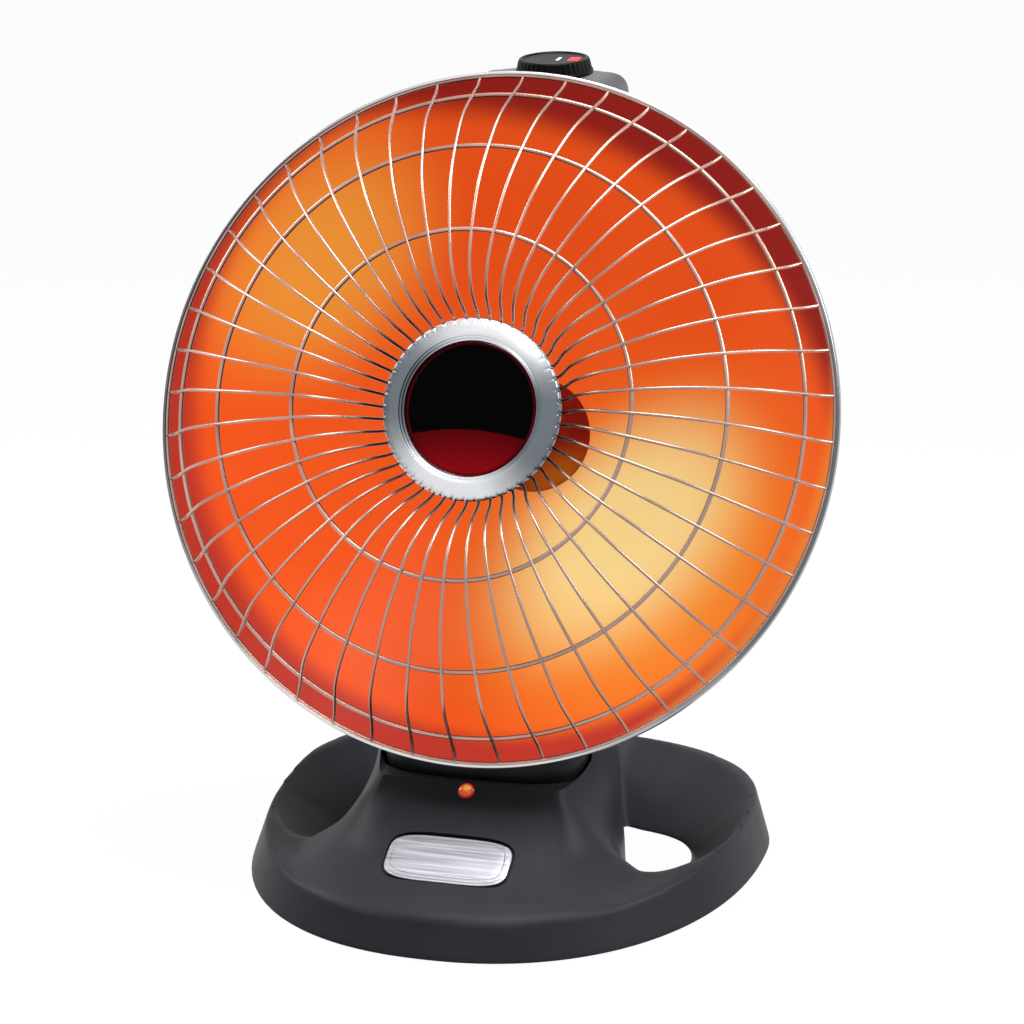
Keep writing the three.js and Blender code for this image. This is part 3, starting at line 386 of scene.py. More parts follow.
@dataclass(frozen=True)
class InnerShadedWire(Patched):
    """Bright wire with painted shade in brown on the side that faces the middle of the dish."""

    # painted shade, laid on the side of each wire that faces the middle
    shade_tint: str = "#3A2018"
    shade_from: float = -0.95
    shade_to: float = -0.25

    def colours(self, tree: NodeTree, at: Socket) -> Socket:
        """The wire's patched colour, with painted shade in brown where its surface turns to the
        middle.
        """
        colour = Patched.colours(self, tree, at)
        facing = add_node(
            tree, "ShaderNodeMapping",
            {
                "Vector": add_node(tree, "ShaderNodeTexCoord").outputs["Normal"],
                "Rotation": self.space.to_euler(),
            },
            vector_type="TEXTURE",
        )
        flat = add_node(tree, "ShaderNodeVectorMath", {0: at, 1: (1, 1, 0)}, operation="MULTIPLY")
        away = add_node(tree, "ShaderNodeVectorMath", {0: flat}, operation="NORMALIZE")
        turned = add_node(
            tree, "ShaderNodeVectorMath", {0: facing, 1: away}, operation="DOT_PRODUCT"
        )
        share = add_node(
            tree, "ShaderNodeMapRange",
            {
                "Value": turned.outputs["Value"], "From Min": self.shade_from,
                "From Max": self.shade_to,
            },
            interpolation_type="SMOOTHSTEP",
        )
        return add_node(
            tree, "ShaderNodeMix", {0: share, 6: linear(self.shade_tint), 7: colour}, data_type="RGBA"
        ).outputs[2]


@dataclass(frozen=True)
class Lit(Finish):
    """A surface that glows by itself, such as hot wire or a lit lens."""

    light: str = "#FF5A10"
    strength: float = 1.0
    clear: float = 0.0

    def finishing(self, tree: NodeTree, at: Socket, shader: Node) -> None:
        """Adds the glow and the share of light that goes through."""
        shader.inputs["Emission Color"].default_value = linear(self.light)
        shader.inputs["Emission Strength"].default_value = self.strength
        shader.inputs["Transmission Weight"].default_value = self.clear


@dataclass(frozen=True)
class TwoToneDisc(Finish):
    """Gloss enamel: plain black above a shallow arc, red below it, and a thin red border."""

    lower: str = "#B3121E"
    lower_dark: str = "#6E0A12"
    border: str = "#7A0D16"
    border_from: float = 37.2
    middle: float = -12.0
    bow: float = 5.0

    def colours(self, tree: NodeTree, at: Socket) -> Socket:
        """The three fields, with soft narrow edges."""
        parts = add_node(tree, "ShaderNodeSeparateXYZ", {0: at})
        square = add_node(tree, "ShaderNodeMath", {0: parts, 1: 2.0}, operation="POWER")
        line = add_node(
            tree, "ShaderNodeMath",
            {0: square, 1: -self.bow * MM / (self.border_from * MM) ** 2, 2: self.middle * MM},
            operation="MULTIPLY_ADD",
        )
        below = add_node(
            tree, "ShaderNodeMath", {0: line, 1: parts.outputs[1]}, operation="SUBTRACT"
        )
        share = add_node(
            tree, "ShaderNodeMapRange",
            {"Value": below, "From Min": -0.1 * MM, "From Max": 0.3 * MM},
        )
        depth = add_node(
            tree, "ShaderNodeMapRange", {"Value": below, "From Min": 0.0, "From Max": 22 * MM}
        )
        red = add_node(
            tree, "ShaderNodeMix", {0: depth, 6: linear(self.lower_dark), 7: linear(self.lower)},
            data_type="RGBA",
        )
        field_ = add_node(
            tree, "ShaderNodeMix", {0: share, 6: linear(self.colour), 7: red.outputs[2]},
            data_type="RGBA",
        )
        flat = add_node(tree, "ShaderNodeVectorMath", {0: at, 1: (1, 1, 0)}, operation="MULTIPLY")
        radius = add_node(tree, "ShaderNodeVectorMath", {0: flat}, operation="LENGTH")
        ring = add_node(
            tree, "ShaderNodeMapRange",
            {
                "Value": radius.outputs["Value"], "From Min": self.border_from * MM,
                "From Max": (self.border_from + 0.3) * MM,
            },
        )
        return add_node(
            tree, "ShaderNodeMix", {0: ring, 6: field_.outputs[2], 7: linear(self.border)},
            data_type="RGBA",
        ).outputs[2]


class Finishes:
    """Every finish of the heater, each made once and named after its real material."""

    # Charcoal ABS, spark-eroded mould: a fine even grain with a dull sheen
    ABS_CHARCOAL = Finish(
        "Charcoal_ABS_grained", "#2F3035", "#2A2B30", 0.44, grain_mm=1.1, grain_depth_mm=0.05,
        specular=0.1,
    )
    # The same ABS in black, for the parts behind the dish
    ABS_BLACK = Finish(
        "Black_ABS_grained", "#1C1D20", "#17181A", 0.48, grain_mm=1.1, grain_depth_mm=0.03,
        specular=0.22,
    )
    # Gloss black ABS from a polished mould: mirror-like with a faint orange-peel
    ABS_GLOSS = Finish(
        "Gloss_black_ABS", "#0E0E10", "#121215", 0.2, grain_mm=9, grain_depth_mm=0.02,
        gloss_swing=0.04, specular=0.4,
    )
    # Black ABS of the knob, dulled by handling
    ABS_KNOB = Finish(
        "Satin_black_ABS", "#070708", "#0B0B0C", 0.34, grain_mm=2, grain_depth_mm=0.02,
        specular=0.05,
    )
    # Matt black nylon of the inner mouldings
    NYLON_BLACK = Finish("Black_nylon", "#1B1C1E", "#222326", 0.6, grain_mm=0.8)
    # Moulded rubber feet: dull, with a dusty bloom
    RUBBER = Finish("Moulded_rubber", "#18181A", "#242425", 0.85, grain_mm=0.6, grain_depth_mm=0.06)
    # Spun dish with a copper-coloured mirror coat, its colour all painted light from the element: a
    # painted reflection of the coil in cream, painted glow in orange over most of it and painted
    # shade in dark red where the rim turns away
    REFLECTOR = PaintedGlow(
        "Copper_mirror_painted_glow",
        "#F25A1F",
        "#EE521A",
        0.32,
        metallic=0.0,
        specular=0.04,
        drift_mm=120,
        grain_mm=14,
        grain_depth_mm=0.02,
        space=HEAD,
        glow=0.82,
        lit_share=0.3,
        spots=(
            PaintedLightSpot(78, -72, 30, 138, "#F08C2C", 0.95, (1.2, 1.0), 45),
            PaintedLightSpot(68, -58, 18, 98, "#F7D48C", 1.0, (1.35, 0.9), 45),
            PaintedLightSpot(-126, 96, 8, 100, "#F4993A", 0.95, (1.3, 0.75), 53),
            PaintedLightSpot(6, 10, 207, 190, "#B83426", 1.0), PaintedLightSpot(-40, -70, 268, 244, "#8E1A1A", 0.95),
            PaintedLightSpot(-45, 21, 252, 240, "#F8933A", 0.6),
        ),
    )
    # Plated band that clips the grille to the dish: bright, with faint draw lines, painted
    # highlights in two sectors near the top and bottom and painted shade between
    BRIGHT_STEEL = BrushedMetal(
        "Nickel_plated_steel", "#DCDEE2", "#686B70", 0.22, 1.0, grain=Grain.ROUND, line_mm=0.9,
        grain_depth_mm=0.004, space=HEAD, gloss_swing=0.04,
    )
    # Bright drawn wire: its pink tone is a painted reflection of the glowing dish, the brown on its
    # inner side is painted shade, and the greyer patch at lower right is a painted reflection of
    # dark surroundings
    GRILLE_WIRE = InnerShadedWire(
        "Drawn_wire_painted_reflection_and_shade", "#D0A79A", "#A57F72", 0.26, 1.0, drift_mm=45, grain_mm=2,
        grain_depth_mm=0.01, space=HEAD,
        spots=(PaintedLightSpot(70, -66, 40, 150, "#A08A80", 0.8, (1.2, 1.0), 45),),
    )
    # Turned and brushed ring round the badge place, with painted highlights in two opposite sectors
    # and painted shade between
    TURNED_STEEL = BrushedMetal(
        "Turned_steel", "#E2E4E7", "#6F757C", 0.28, 1.0, grain=Grain.ROUND, line_mm=0.7,
        grain_depth_mm=0.01, space=HEAD, drift_mm=30,
    )
    # Belt-brushed plate
    BRUSHED_PLATE = BrushedMetal(
        "Belt_brushed_steel", "#BCBCC4", "#85868E", 0.36, 1.0, grain=Grain.STRAIGHT, line_mm=0.7,
        line_length_mm=26, grain_depth_mm=0.05, space=PLATE, drift_mm=1.6,
    )
    # Gloss enamel in two tones
    ENAMEL = TwoToneDisc(
        "Two_tone_enamel", "#030203", "#030203", 0.2, grain_mm=12, grain_depth_mm=0.01,
        space=HEAD, specular=0.02, gloss_swing=0.03,
    )
    # Fired brown ceramic: matt with a fine speckle
    CERAMIC = Finish(
        "Fired_brown_ceramic", "#8A3A1E", "#5E2212", 0.72, drift_mm=9, grain_mm=0.7,
        grain_depth_mm=0.05, space=HEAD,
    )
    # The socket of the same ceramic, with a painted glow from the coil above it: its dark red is a
    # painted shadow of the hub, and the orange patch low on its right is painted light
    CERAMIC_PAINTED_LIGHT = PaintedGlow(
        "Fired_ceramic_painted_glow_and_shadow", "#8E1A10", "#7E160E", 0.7, drift_mm=9, grain_mm=0.7,
        grain_depth_mm=0.05, space=HEAD, glow=0.6, lit_share=0.5, specular=0.05,
        spots=(PaintedLightSpot(22, -30, 4, 34, "#AE540F", 0.95, (1.3, 1.0), 20),),
    )
    # Resistance wire at working heat
    HOT_WIRE = Lit(
        "Hot_resistance_wire", "#FF7A2A", "#FF5A10", 0.55, drift_mm=12, light="#FF6A1C",
        strength=2.2,
    )
    # Zinc-plated sheet: bluish with a cloudy bloom
    ZINC = Finish(
        "Zinc_plated_steel", "#A9AEB3", "#8F959B", 0.42, 1.0, drift_mm=14, grain_mm=1.5,
        grain_depth_mm=0.01,
    )
    # Plain brass terminals
    BRASS = Finish("Plain_brass", "#C9A765", "#A8854A", 0.34, 1.0, drift_mm=8, grain_mm=1.2,
                   grain_depth_mm=0.01)
    # Amber polycarbonate lens over a lit lamp, with painted glow: painted light in yellow where the
    # lamp is and painted shade in dark red at its edge
    LENS = PaintedGlow(
        "Amber_polycarbonate_painted_glow", "#FF5E16", "#F24608", 0.12, drift_mm=4, gloss_swing=0.03, ior=1.58,
        space=LIGHT, glow=0.5, specular=0.3,
        spots=(PaintedLightSpot(0.3, 0.6, 0.6, 3.2, "#FFC23A", 0.95), PaintedLightSpot(0, 0, 5.0, 3.3, "#8A1408")),
    )
    # Neon lamp glass
    LAMP = Lit("Neon_lamp_glass", "#FFC080", "#FF9A50", 0.08, drift_mm=3, light="#FFA050",
               strength=1.6, clear=0.4, gloss_swing=0.02)
    # Pressed friction fibre: dry and flecked
    FIBRE = Finish("Pressed_friction_fibre", "#6B4A30", "#4A3220", 0.85, drift_mm=2.5, grain_mm=0.5,
                   grain_depth_mm=0.06)
    # Dark phenolic block
    PHENOLIC = Finish("Dark_phenolic", "#3A2A22", "#2C1F19", 0.45, drift_mm=7)
    # White printed mark
    WHITE_MARK = Finish("White_pad_print", "#F2F2F0", "#E6E6E3", 0.5, grain_mm=0.4)
    # Red printed dot
    RED_MARK = Finish("Red_pad_print", "#D8262A", "#C41C20", 0.5, grain_mm=0.4)

    def __init__(self) -> None:
        """Starts with nothing made."""
        self.made: dict[str, bpy.types.Material] = {}

    def get(self, finish: Finish) -> bpy.types.Material:
        """The material of a finish, made the first time it is asked for."""
        if finish.name not in self.made:
            self.made[finish.name] = finish.build()
        return self.made[finish.name]


# ------------------------------------------------------------------ meshes
def settle(obj: Solid) -> None:
    """Turns the object's modifiers into plain mesh."""
    graph = bpy.context.evaluated_depsgraph_get()
    graph.update()
    made = bpy.data.meshes.new_from_object(obj.evaluated_get(graph))
    obj.modifiers.clear()
    old = obj.data
    obj.data = made
    bpy.data.meshes.remove(old)


def mesh_object(
    name: str, points: np.ndarray, faces: Sequence[Sequence[int]], place: Matrix | None = None
) -> Solid:
    """Makes a closed mesh object whose faces point outwards.

    Args:
        name: Name of the object.
        points: Corners in millimetres.
        faces: Corner numbers of each face.
        place: Where the piece's own frame lies, in millimetres.

    Returns:
        The object, at the origin, with its place in its mesh.
    """
    mesh = bpy.data.meshes.new(name)
    mesh.from_pydata([tuple(p) for p in points], [], [tuple(f) for f in faces])
    mesh.transform(Matrix.Scale(MM, 4) @ (place or Matrix.Identity(4)))
    work = bmesh.new()
    work.from_mesh(mesh)
    bmesh.ops.remove_doubles(work, verts=work.verts, dist=1e-7)
    bmesh.ops.recalc_face_normals(work, faces=work.faces)
    work.to_mesh(mesh)
    work.free()
    return in_scene(name, mesh)


def in_scene(name: str, data: bpy.types.ID) -> Solid:
    """Makes the object that shows a mesh, a lamp or a camera."""
    obj = bpy.data.objects.new(name, data)
    bpy.context.scene.collection.objects.link(obj)
    return obj


def line_object(name: str, points: np.ndarray) -> Solid:
    """An object whose mesh is one line through points in millimetres."""
    mesh = bpy.data.meshes.new(name)
    steps = [(i, i + 1) for i in range(len(points) - 1)]
    mesh.from_pydata([tuple(p) for p in points * MM], steps, [])
    return in_scene(name, mesh)


def put_in_head(obj: Solid) -> Solid:
    """Moves a swept line's mesh from the head's own frame to its place, shaded smooth."""
    obj.data.transform(Matrix.Translation(HEAD.to_translation() * MM) @ HEAD.to_3x3().to_4x4())
    obj.data.shade_smooth()
    return obj


def soften(obj: Solid, degrees: float) -> Solid:
    """Shades smooth, with sharp edges where faces meet at more than an angle."""
    obj.data.shade_smooth()
    obj.data.set_sharp_from_angle(angle=math.radians(degrees))
    return obj


def loft(name: str, rings: Sequence[np.ndarray], place: Matrix | None = None) -> Solid:
    """A closed solid through rings that all have the same count of points.

    Args:
        name: Name of the object.
        rings: Arrays of points, from one end to the other.
        place: The frame that the rings are in.

    Returns:
        The solid.
    """
    n = len(rings[0])
    points = np.vstack([*rings, rings[0].mean(0), rings[-1].mean(0)])
    faces: list[tuple[int, ...]] = []
    for k in range(len(rings) - 1):
        for i in range(n):
            j = (i + 1) % n
            faces.append((k * n + i, k * n + j, (k + 1) * n + j, (k + 1) * n + i))
    low, last = len(rings) * n, (len(rings) - 1) * n
    for i in range(n):
        j = (i + 1) % n
        faces.append((low, j, i))
        faces.append((low + 1, last + i, last + j))
    return mesh_object(name, points, faces, place)


def lathe(
    name: str, outline: Outline, segments: int = 96, place: Matrix | None = None,
    ripple: Ripple | None = None,
) -> Solid:
    """A solid of revolution about Z.

    Args:
        name: Name of the object.
        outline: (radius, height) corners, closed, or from the axis back to the axis.
        segments: Count of sides.
        place: The frame that it turns in.
        ripple: Gives the radius at (angle, radius, height), for flutes and knurls.

    Returns:
        The solid.
    """
    on_axis = outline[0][0] == 0 and outline[-1][0] == 0
    angles = np.arange(segments) * FULL_TURN / segments
    points: list[tuple[float, float, float]] = []
    for r, z in outline:
        for a in angles:
            radius = ripple(a, r, z) if ripple and r else r
            points.append((radius * math.cos(a), radius * math.sin(a), z))
    faces = []
    count = len(outline)
    for k in range(count - 1 if on_axis else count):
        m = (k + 1) % count
        for i in range(segments):
            j = (i + 1) % segments
            ring = [k * segments + i, k * segments + j, m * segments + j, m * segments + i]
            if outline[k][0] == 0:
                ring = [k * segments, *ring[2:]]
            elif outline[m][0] == 0:
                ring = [*ring[:2], m * segments]
            faces.append(ring)
    obj = mesh_object(name, np.array(points), faces, place)
    work = bmesh.new()
    work.from_mesh(obj.data)
    loose = [v for v in work.verts if not v.link_faces]
    bmesh.ops.delete(work, geom=loose, context="VERTS")
    work.to_mesh(obj.data)
    work.free()
    return obj


def rod(
    name: str, radius: float, low: float, high: float, place: Matrix | None = None,
    segments: int = 64,
) -> Solid:
    """A plain round rod along Z, used to cut or join."""
    return lathe(name, [(0, low), (radius, low), (radius, high), (0, high)], segments, place)


def along_x(y: float, z: float) -> Matrix:
    """A frame whose Z axis lies along X through (0, y, z)."""
    return Matrix.Translation((0, y, z)) @ Matrix.Rotation(math.pi / 2, 4, "Y")


def along_y(y: float, z: float) -> Matrix:
    """A frame whose Z axis points along +Y from (0, y, z)."""
    return Matrix.Translation((0, y, z)) @ Matrix.Rotation(-math.pi / 2, 4, "X")


def block(low: Sequence[float], high: Sequence[float], place: Matrix | None = None) -> Solid:
    """A box between two corners, used to cut or join."""
    (x0, y0, z0), (x1, y1, z1) = low, high
    ring = np.array([(x0, y0), (x1, y0), (x1, y1), (x0, y1)])
    return loft("block", [np.column_stack([ring, np.full(4, z)]) for z in (z0, z1)], place)


def prism(outline: Outline, depth: float, place: Matrix | None = None) -> Solid:
    """A convex outline carried along Z from 0 to depth."""
    flat = np.array(outline, float)
    return loft(
        "prism", [np.column_stack([flat, np.full(len(flat), z)]) for z in (0.0, depth)], place
    )


def combine(body: Solid, *steps: tuple[Cut, Solid]) -> Solid:
    """Joins and cuts closed solids in turn, and drops the tools.

    Args:
        body: The solid that is changed.
        steps: How and with which solid.

    Returns:
        The same object.
    """
    for how, tool in steps:
        change = body.modifiers.new("combine", "BOOLEAN")
        change.operation = how.value
        change.solver = "MANIFOLD"
        change.object = tool
        settle(body)
        bpy.data.objects.remove(tool)
    return body


def smooth_path(points: Sequence[Sequence[float]], steps: int, closed: bool = False) -> np.ndarray:
    """A Catmull-Rom curve through points.

    Args:
        points: Points of any dimension.
        steps: Count of steps between each two.
        closed: Whether the last joins the first.

    Returns:
        The points of the curve.
    """
    p = np.asarray(points, float)
    if closed:
        p = np.concatenate([p[-1:], p, p[:2]])
    else:
        p = np.concatenate([2 * p[:1] - p[1:2], p, 2 * p[-1:] - p[-2:-1]])
    out = []
    for i in range(1, len(p) - 2):
        a, b, c, d = p[i - 1], p[i], p[i + 1], p[i + 2]
        for k in range(steps):
            t = k / steps
            out.append(
                0.5
                * (
                    2 * b
                    + (c - a) * t
                    + (2 * a - 5 * b + 4 * c - d) * t * t
                    + (3 * b - a - 3 * c + d) * t**3
                )
            )
    if not closed:
        out.append(p[-2])
    return np.array(out)


def inset_ring(ring: np.ndarray, inset: float) -> np.ndarray:
    """Moves each point of an anticlockwise ring inwards in its plane."""
    along = np.roll(ring, -1, 0) - np.roll(ring, 1, 0)
    along /= np.linalg.norm(along[:, :2], axis=1)[:, None]
    out = ring.copy()
    out[:, 0] -= along[:, 1] * inset
    out[:, 1] += along[:, 0] * inset
    return out


def rounded_ring(width: float, height: float, radius: float, corner: int = 10) -> np.ndarray:
    """The corners of a rounded rectangle about the origin, anticlockwise."""
    out = []
    for k, (sx, sy) in enumerate(((1, 1), (-1, 1), (-1, -1), (1, -1))):
        for i in range(corner + 1):
            a = (k + i / corner) * math.pi / 2
            out.append(
                (
                    sx * (width / 2 - radius) + radius * math.cos(a),
                    sy * (height / 2 - radius) + radius * math.sin(a),
                )
            )
    return np.array(out)


def cushion_ring(width: float, height: float, power: float, count: int = 96) -> np.ndarray:
    """A superellipse about the origin: a rounded rectangle whose sides bow out."""
    a = np.arange(count) * FULL_TURN / count
    c, s = np.cos(a), np.sin(a)
    x = np.sign(c) * np.abs(c) ** (2 / power) * width / 2
    y = np.sign(s) * np.abs(s) ** (2 / power) * height / 2
    return np.column_stack([x, y])


def stepped_plate(
    name: str, width: float, height: float, power: float, profile: Outline, place: Matrix
) -> Solid:
    """A plate with bowed sides whose face is worked in steps.

    Args:
        name: Name of the object.
        width: Size along X.
        height: Size along Y.
        power: How square its outline is.
        profile: (inset, height) of each ring, from the back's edge to the face's middle.
        place: The plate's frame.

    Returns:
        The plate.
    """
    rings = []
    for inset, z in profile:
        ring = cushion_ring(width - 2 * inset, height - 2 * inset, power)
        rings.append(np.column_stack([ring, np.full(len(ring), z)]))
    return loft(name, rings, place)


@dataclass
class Maker:
    """What every sub-assembly shares: the finishes, and how a piece is put on its body."""

    finishes: Finishes
    body: Body = Body.BASE
    pieces: list[str] = field(default_factory=list)

    def dress(
        self, obj: Solid, finish: Finish, slot: str, replaces: Sequence[str] = (),
        body: Body | None = None,
    ) -> Solid:
        """Gives a piece its material, its body and the CAD nodes that it stands for.

        Args:
            obj: The finished piece.
            finish: Its finish.
            slot: The record's material slot; not used.
            replaces: CAD nodes that it stands for.
            body: Its body, if not the sub-assembly's own.

        Returns:
            The piece.
        """
        obj.data.materials.clear()
        obj.data.materials.append(self.finishes.get(finish))
        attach(obj, (body or self.body).value)
        if replaces:
            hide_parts(*replaces)
        self.pieces.append(obj.name)
        return obj

    def dress_node(self, node: str, finish: Finish) -> None:
        """Gives a CAD node that stays in view its material."""
        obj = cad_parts[node]
        obj.data.materials.clear()
        obj.data.materials.append(self.finishes.get(finish))
        self.pieces.append(node)


# ------------------------------------------------------------------ geometry nodes
class Tree:
    """A geometry node tree with named inputs."""

    def __init__(self, name: str) -> None:
        """Starts a tree that takes in and gives out geometry."""
        self.group = bpy.data.node_groups.new(name, "GeometryNodeTree")
        for way in ("INPUT", "OUTPUT"):
            self.group.interface.new_socket(
                "Geometry", in_out=way, socket_type="NodeSocketGeometry"
            )
        self.values: dict[str, Any] = {}
        self.start: Node | None = None

    def size(self, name: str, kind: str, value: Any) -> None:
        """Declares a named input and the value that this heater gives it."""
        self.group.interface.new_socket(name, in_out="INPUT", socket_type=kind)
        self.values[name] = value

    def begin(self) -> Node:
        """Adds the node that the inputs come from."""
        self.start = add_node(self.group, "NodeGroupInput")
        return self.start

    def add(self, kind: str, inputs: dict[str | int, Any] | None = None, **settings: Any) -> Node:
        """Adds a node to this tree."""
        return add_node(self.group, kind, inputs, **settings)

    def end(self, geometry: Socket) -> None:
        """Realizes what was made, sets its material and gives it out."""
        real = self.add("GeometryNodeRealizeInstances", {0: geometry})
        flat = self.add("GeometryNodeSetShadeSmooth", {0: real})
        dressed = self.add(
            "GeometryNodeSetMaterial",
            {"Geometry": flat, "Material": self.start.outputs["Material"]},
        )
        self.add("NodeGroupOutput", {0: dressed})

    def bake(self, obj: Solid) -> Solid:
        """Runs the tree on an object and keeps the result as its mesh.

        Args:
            obj: The object that carries the starting geometry.

        Returns:
            The same object.
        """
        modifier = obj.modifiers.new(self.group.name, "NODES")
        modifier.node_group = self.group
        for item in self.group.interface.items_tree:
            if item.item_type == "SOCKET" and item.in_out == "INPUT" and item.name in self.values:
                modifier[item.identifier] = self.values[item.name]
        settle(obj)
        return obj


def array_round(
    name: str, piece: Solid, places: Sequence[Sequence[float]], turn: Sequence[float],
    material: bpy.types.Material,
) -> Solid:
    """Copies one small piece to several places with geometry nodes.

    Args:
        name: Name of the new object.
        piece: The piece, about the origin, in metres.
        places: Where copies go, in millimetres.
        turn: Rotation of every copy, in radians.
        material: Its material.

    Returns:
        One mesh object with all the copies.
    """
    carrier = bpy.data.meshes.new(name)
    carrier.from_pydata([tuple(Vector(p) * MM) for p in places], [], [])
    obj = in_scene(name, carrier)
    tree = Tree(name + "_array")
    tree.size("Piece", "NodeSocketObject", piece)
    tree.size("Turn", "NodeSocketVector", tuple(turn))
    tree.size("Material", "NodeSocketMaterial", material)
    start = tree.begin()
    info = tree.add("GeometryNodeObjectInfo", {"Object": start.outputs["Piece"]})
    copies = tree.add(
        "GeometryNodeInstanceOnPoints",
        {
            "Points": start.outputs["Geometry"], "Instance": info.outputs["Geometry"],
            "Rotation": start.outputs["Turn"],
        },
    )
    tree.end(copies.outputs[0])
    tree.bake(obj)
    bpy.data.objects.remove(piece)
    return obj


# ------------------------------------------------------------------ base
@dataclass
class BaseMoulding(Maker):
    """The round base: a ring with two hand holes and the pod with its two cheeks."""

    half_width: float = 159.5
    front: float = -160.0
    rear: float = 160.0
    widest: float = 50.0
    powers: tuple[float, float] = (2.2, 2.5)
    draft: float = 9.5
    ring_front: float = 20.0
    ring_rear: float = 40.0
    wall: float = 3.0
    floor: float = 1.2
    notch_half: float = 66.0
    notch_floor: float = 73.5
    notch_round: float = 10.0
    notch_gap: float = 2.5
    voxel: float = 1.8
    plate_size: tuple[float, float] = (74.2, 33.8)
    plate_power: float = 4.2
    skirt: float = 9.0
    plans: tuple[tuple[float, Outline], ...] = (
        (1.2, ((0, -151), (62, -137), (102, -104), (111, -60), (95, -45), (86, -20), (79, 12),
               (71, 40), (58, 92), (44, 134), (0, 147))),
        (20, ((0, -151), (62, -137), (102, -104), (111, -60), (93, -46), (84, -20), (78, 12),
              (70, 39), (56, 89), (41, 131), (0, 144))),
        (27, ((0, -139), (56, -128), (86, -103), (102, -62), (91, -46), (82, -20), (77, 12),
              (69, 38), (54, 86), (38, 128), (0, 140))),
        (32, ((0, -126), (50, -118), (80, -98), (94, -63), (87, -46), (80, -19), (76.5, 12),
              (68, 37), (53, 84), (36, 122), (0, 133))),
        (41, ((0, -107), (42, -103), (68, -89), (81, -65), (80, -44), (78, -18), (76, 12),
              (67, 36), (50, 80), (34, 112), (0, 122))),
        (56, ((0, -84), (36, -83), (57, -78), (68, -66), (72, -44), (75, -17), (75.5, 12),
              (66, 34), (46, 70), (30, 94), (0, 101))),
        (70, ((0, -66.5), (32, -66.5), (49, -66), (57, -64), (65, -42), (72, -16), (75.5, 10),
              (66, 32), (44, 60), (28, 76), (0, 80))),
        (86, ((0, -50), (32, -50), (46, -50), (53, -48), (62, -32), (71, -12), (75.5, 6),
              (66, 26), (44, 46), (28, 56), (0, 60))),
        (108, ((0, -20), (32, -20), (46, -20), (54, -19), (62, -14), (69, -5), (71, 3),
               (62, 11), (44, 16), (28, 18), (0, 20))),
    )
    hole_floor: Outline = (
        (40, -26), (84, -26), (106, -10), (115, 16), (114, 40), (102, 60), (78, 71), (40, 73),
    )
    hole_edge: Outline = (
        (40, -57), (96, -57), (118, -52), (140, -20), (149, 20), (144, 72), (108, 120), (40, 132),
    )
    drum_profile: Outline = ((0, 56), (0.53, 54.5), (0.81, 47), (0.94, 36), (1, 25))

    def ring_top(self, y: np.ndarray) -> np.ndarray:
        """Height of the ring at a y, rising towards the rear."""
        rise = (self.ring_rear - self.ring_front) / (self.rear - self.front)
        return self.ring_front + rise * (y - self.front)

    def outline(self, inset: float, count: int = 240) -> np.ndarray:
        """The base's plan as x and y, drawn in by inset."""
        a = np.arange(count) * FULL_TURN / count
        c, s = np.cos(a), np.sin(a)
        power = np.where(s < 0, self.powers[0], self.powers[1])
        reach = np.where(s < 0, self.widest - self.front, self.rear - self.widest)
        x = np.sign(c) * (self.half_width - inset) * np.abs(c) ** (2 / power)
        y = self.widest + np.sign(s) * (reach - inset) * np.abs(s) ** (2 / power)
        return np.column_stack([x, y])

    def plate(self, inset: float, low: float, name: str = "plate") -> Solid:
        """The full disc of the base with a rounded top edge."""
        shrink = self.outline(inset)
        rings = [
            np.column_stack([shrink, np.full(len(shrink), z)]) for z in (low - self.skirt, low)
        ]
        fillet = 2.4
        for k in range(7):
            a = math.pi / 2 * k / 6
            flat = self.outline(inset + self.draft - 0.8 + fillet * (1 - math.cos(a)))
            drop = fillet * (1 - math.sin(a))
            rings.append(np.column_stack([flat, self.ring_top(flat[:, 1]) - inset - drop]))
        return loft(name, rings)

    def pod(self, inset: float) -> Solid:
        """The bell-shaped pod, flared at its foot."""
        levels = self.plans[:-1] if inset else self.plans
        rings = []
        for i, (z, half) in enumerate(levels):
            mirrored = [(-x, y) for x, y in half[1:-1]][::-1]
            ring = smooth_path([*half, *mirrored], 8, closed=True)
            level = z - (2 * inset if i == 0 else inset)
            rings.append(np.column_stack([inset_ring(ring, inset), np.full(len(ring), level)]))
        stack = np.array(rings)
        flat = smooth_path(stack.reshape(len(stack), -1), 4).reshape(-1, *stack.shape[1:])
        flat[:, :, 2] = np.maximum.accumulate(flat[:, :, 2], axis=0)
        below = flat[0] - np.array([0, 0, self.skirt])
        return loft("pod", [below, *flat])

    def hand_hole(self, side: int, grow: float) -> Solid:
        """One hand hole, whose outer side is the ring's sloping inner wall."""
        low = inset_ring(smooth_path(self.hole_floor, 8, closed=True), -grow)
        edge = inset_ring(smooth_path(self.hole_edge, 8, closed=True), -grow)
        top = self.ring_top(edge[:, 1])
        rings = [
            np.column_stack([low, np.full(len(low), -2 * self.skirt)]),
            np.column_stack([low, np.full(len(low), self.floor)]),
            np.column_stack([edge, top + grow * 0.4]), np.column_stack([edge, top + 40]),
        ]
        for ring in rings:
            ring[:, 0] *= side
        return loft("hand_hole", rings)

    def drum(self, half: float, grow: float, at: Vector) -> Solid:
        """The neck's drum about an axis along X, or the hollow that it turns in."""
        side = smooth_path(self.drum_profile, 8)
        points = [(r + grow, share * half) for share, r in side]
        other = [(r, -x) for r, x in points[1:]][::-1]
        outline = [(0, -half), *other, *points, (0, half)]
        return lathe("drum", outline, 128, along_x(at.y, at.z))

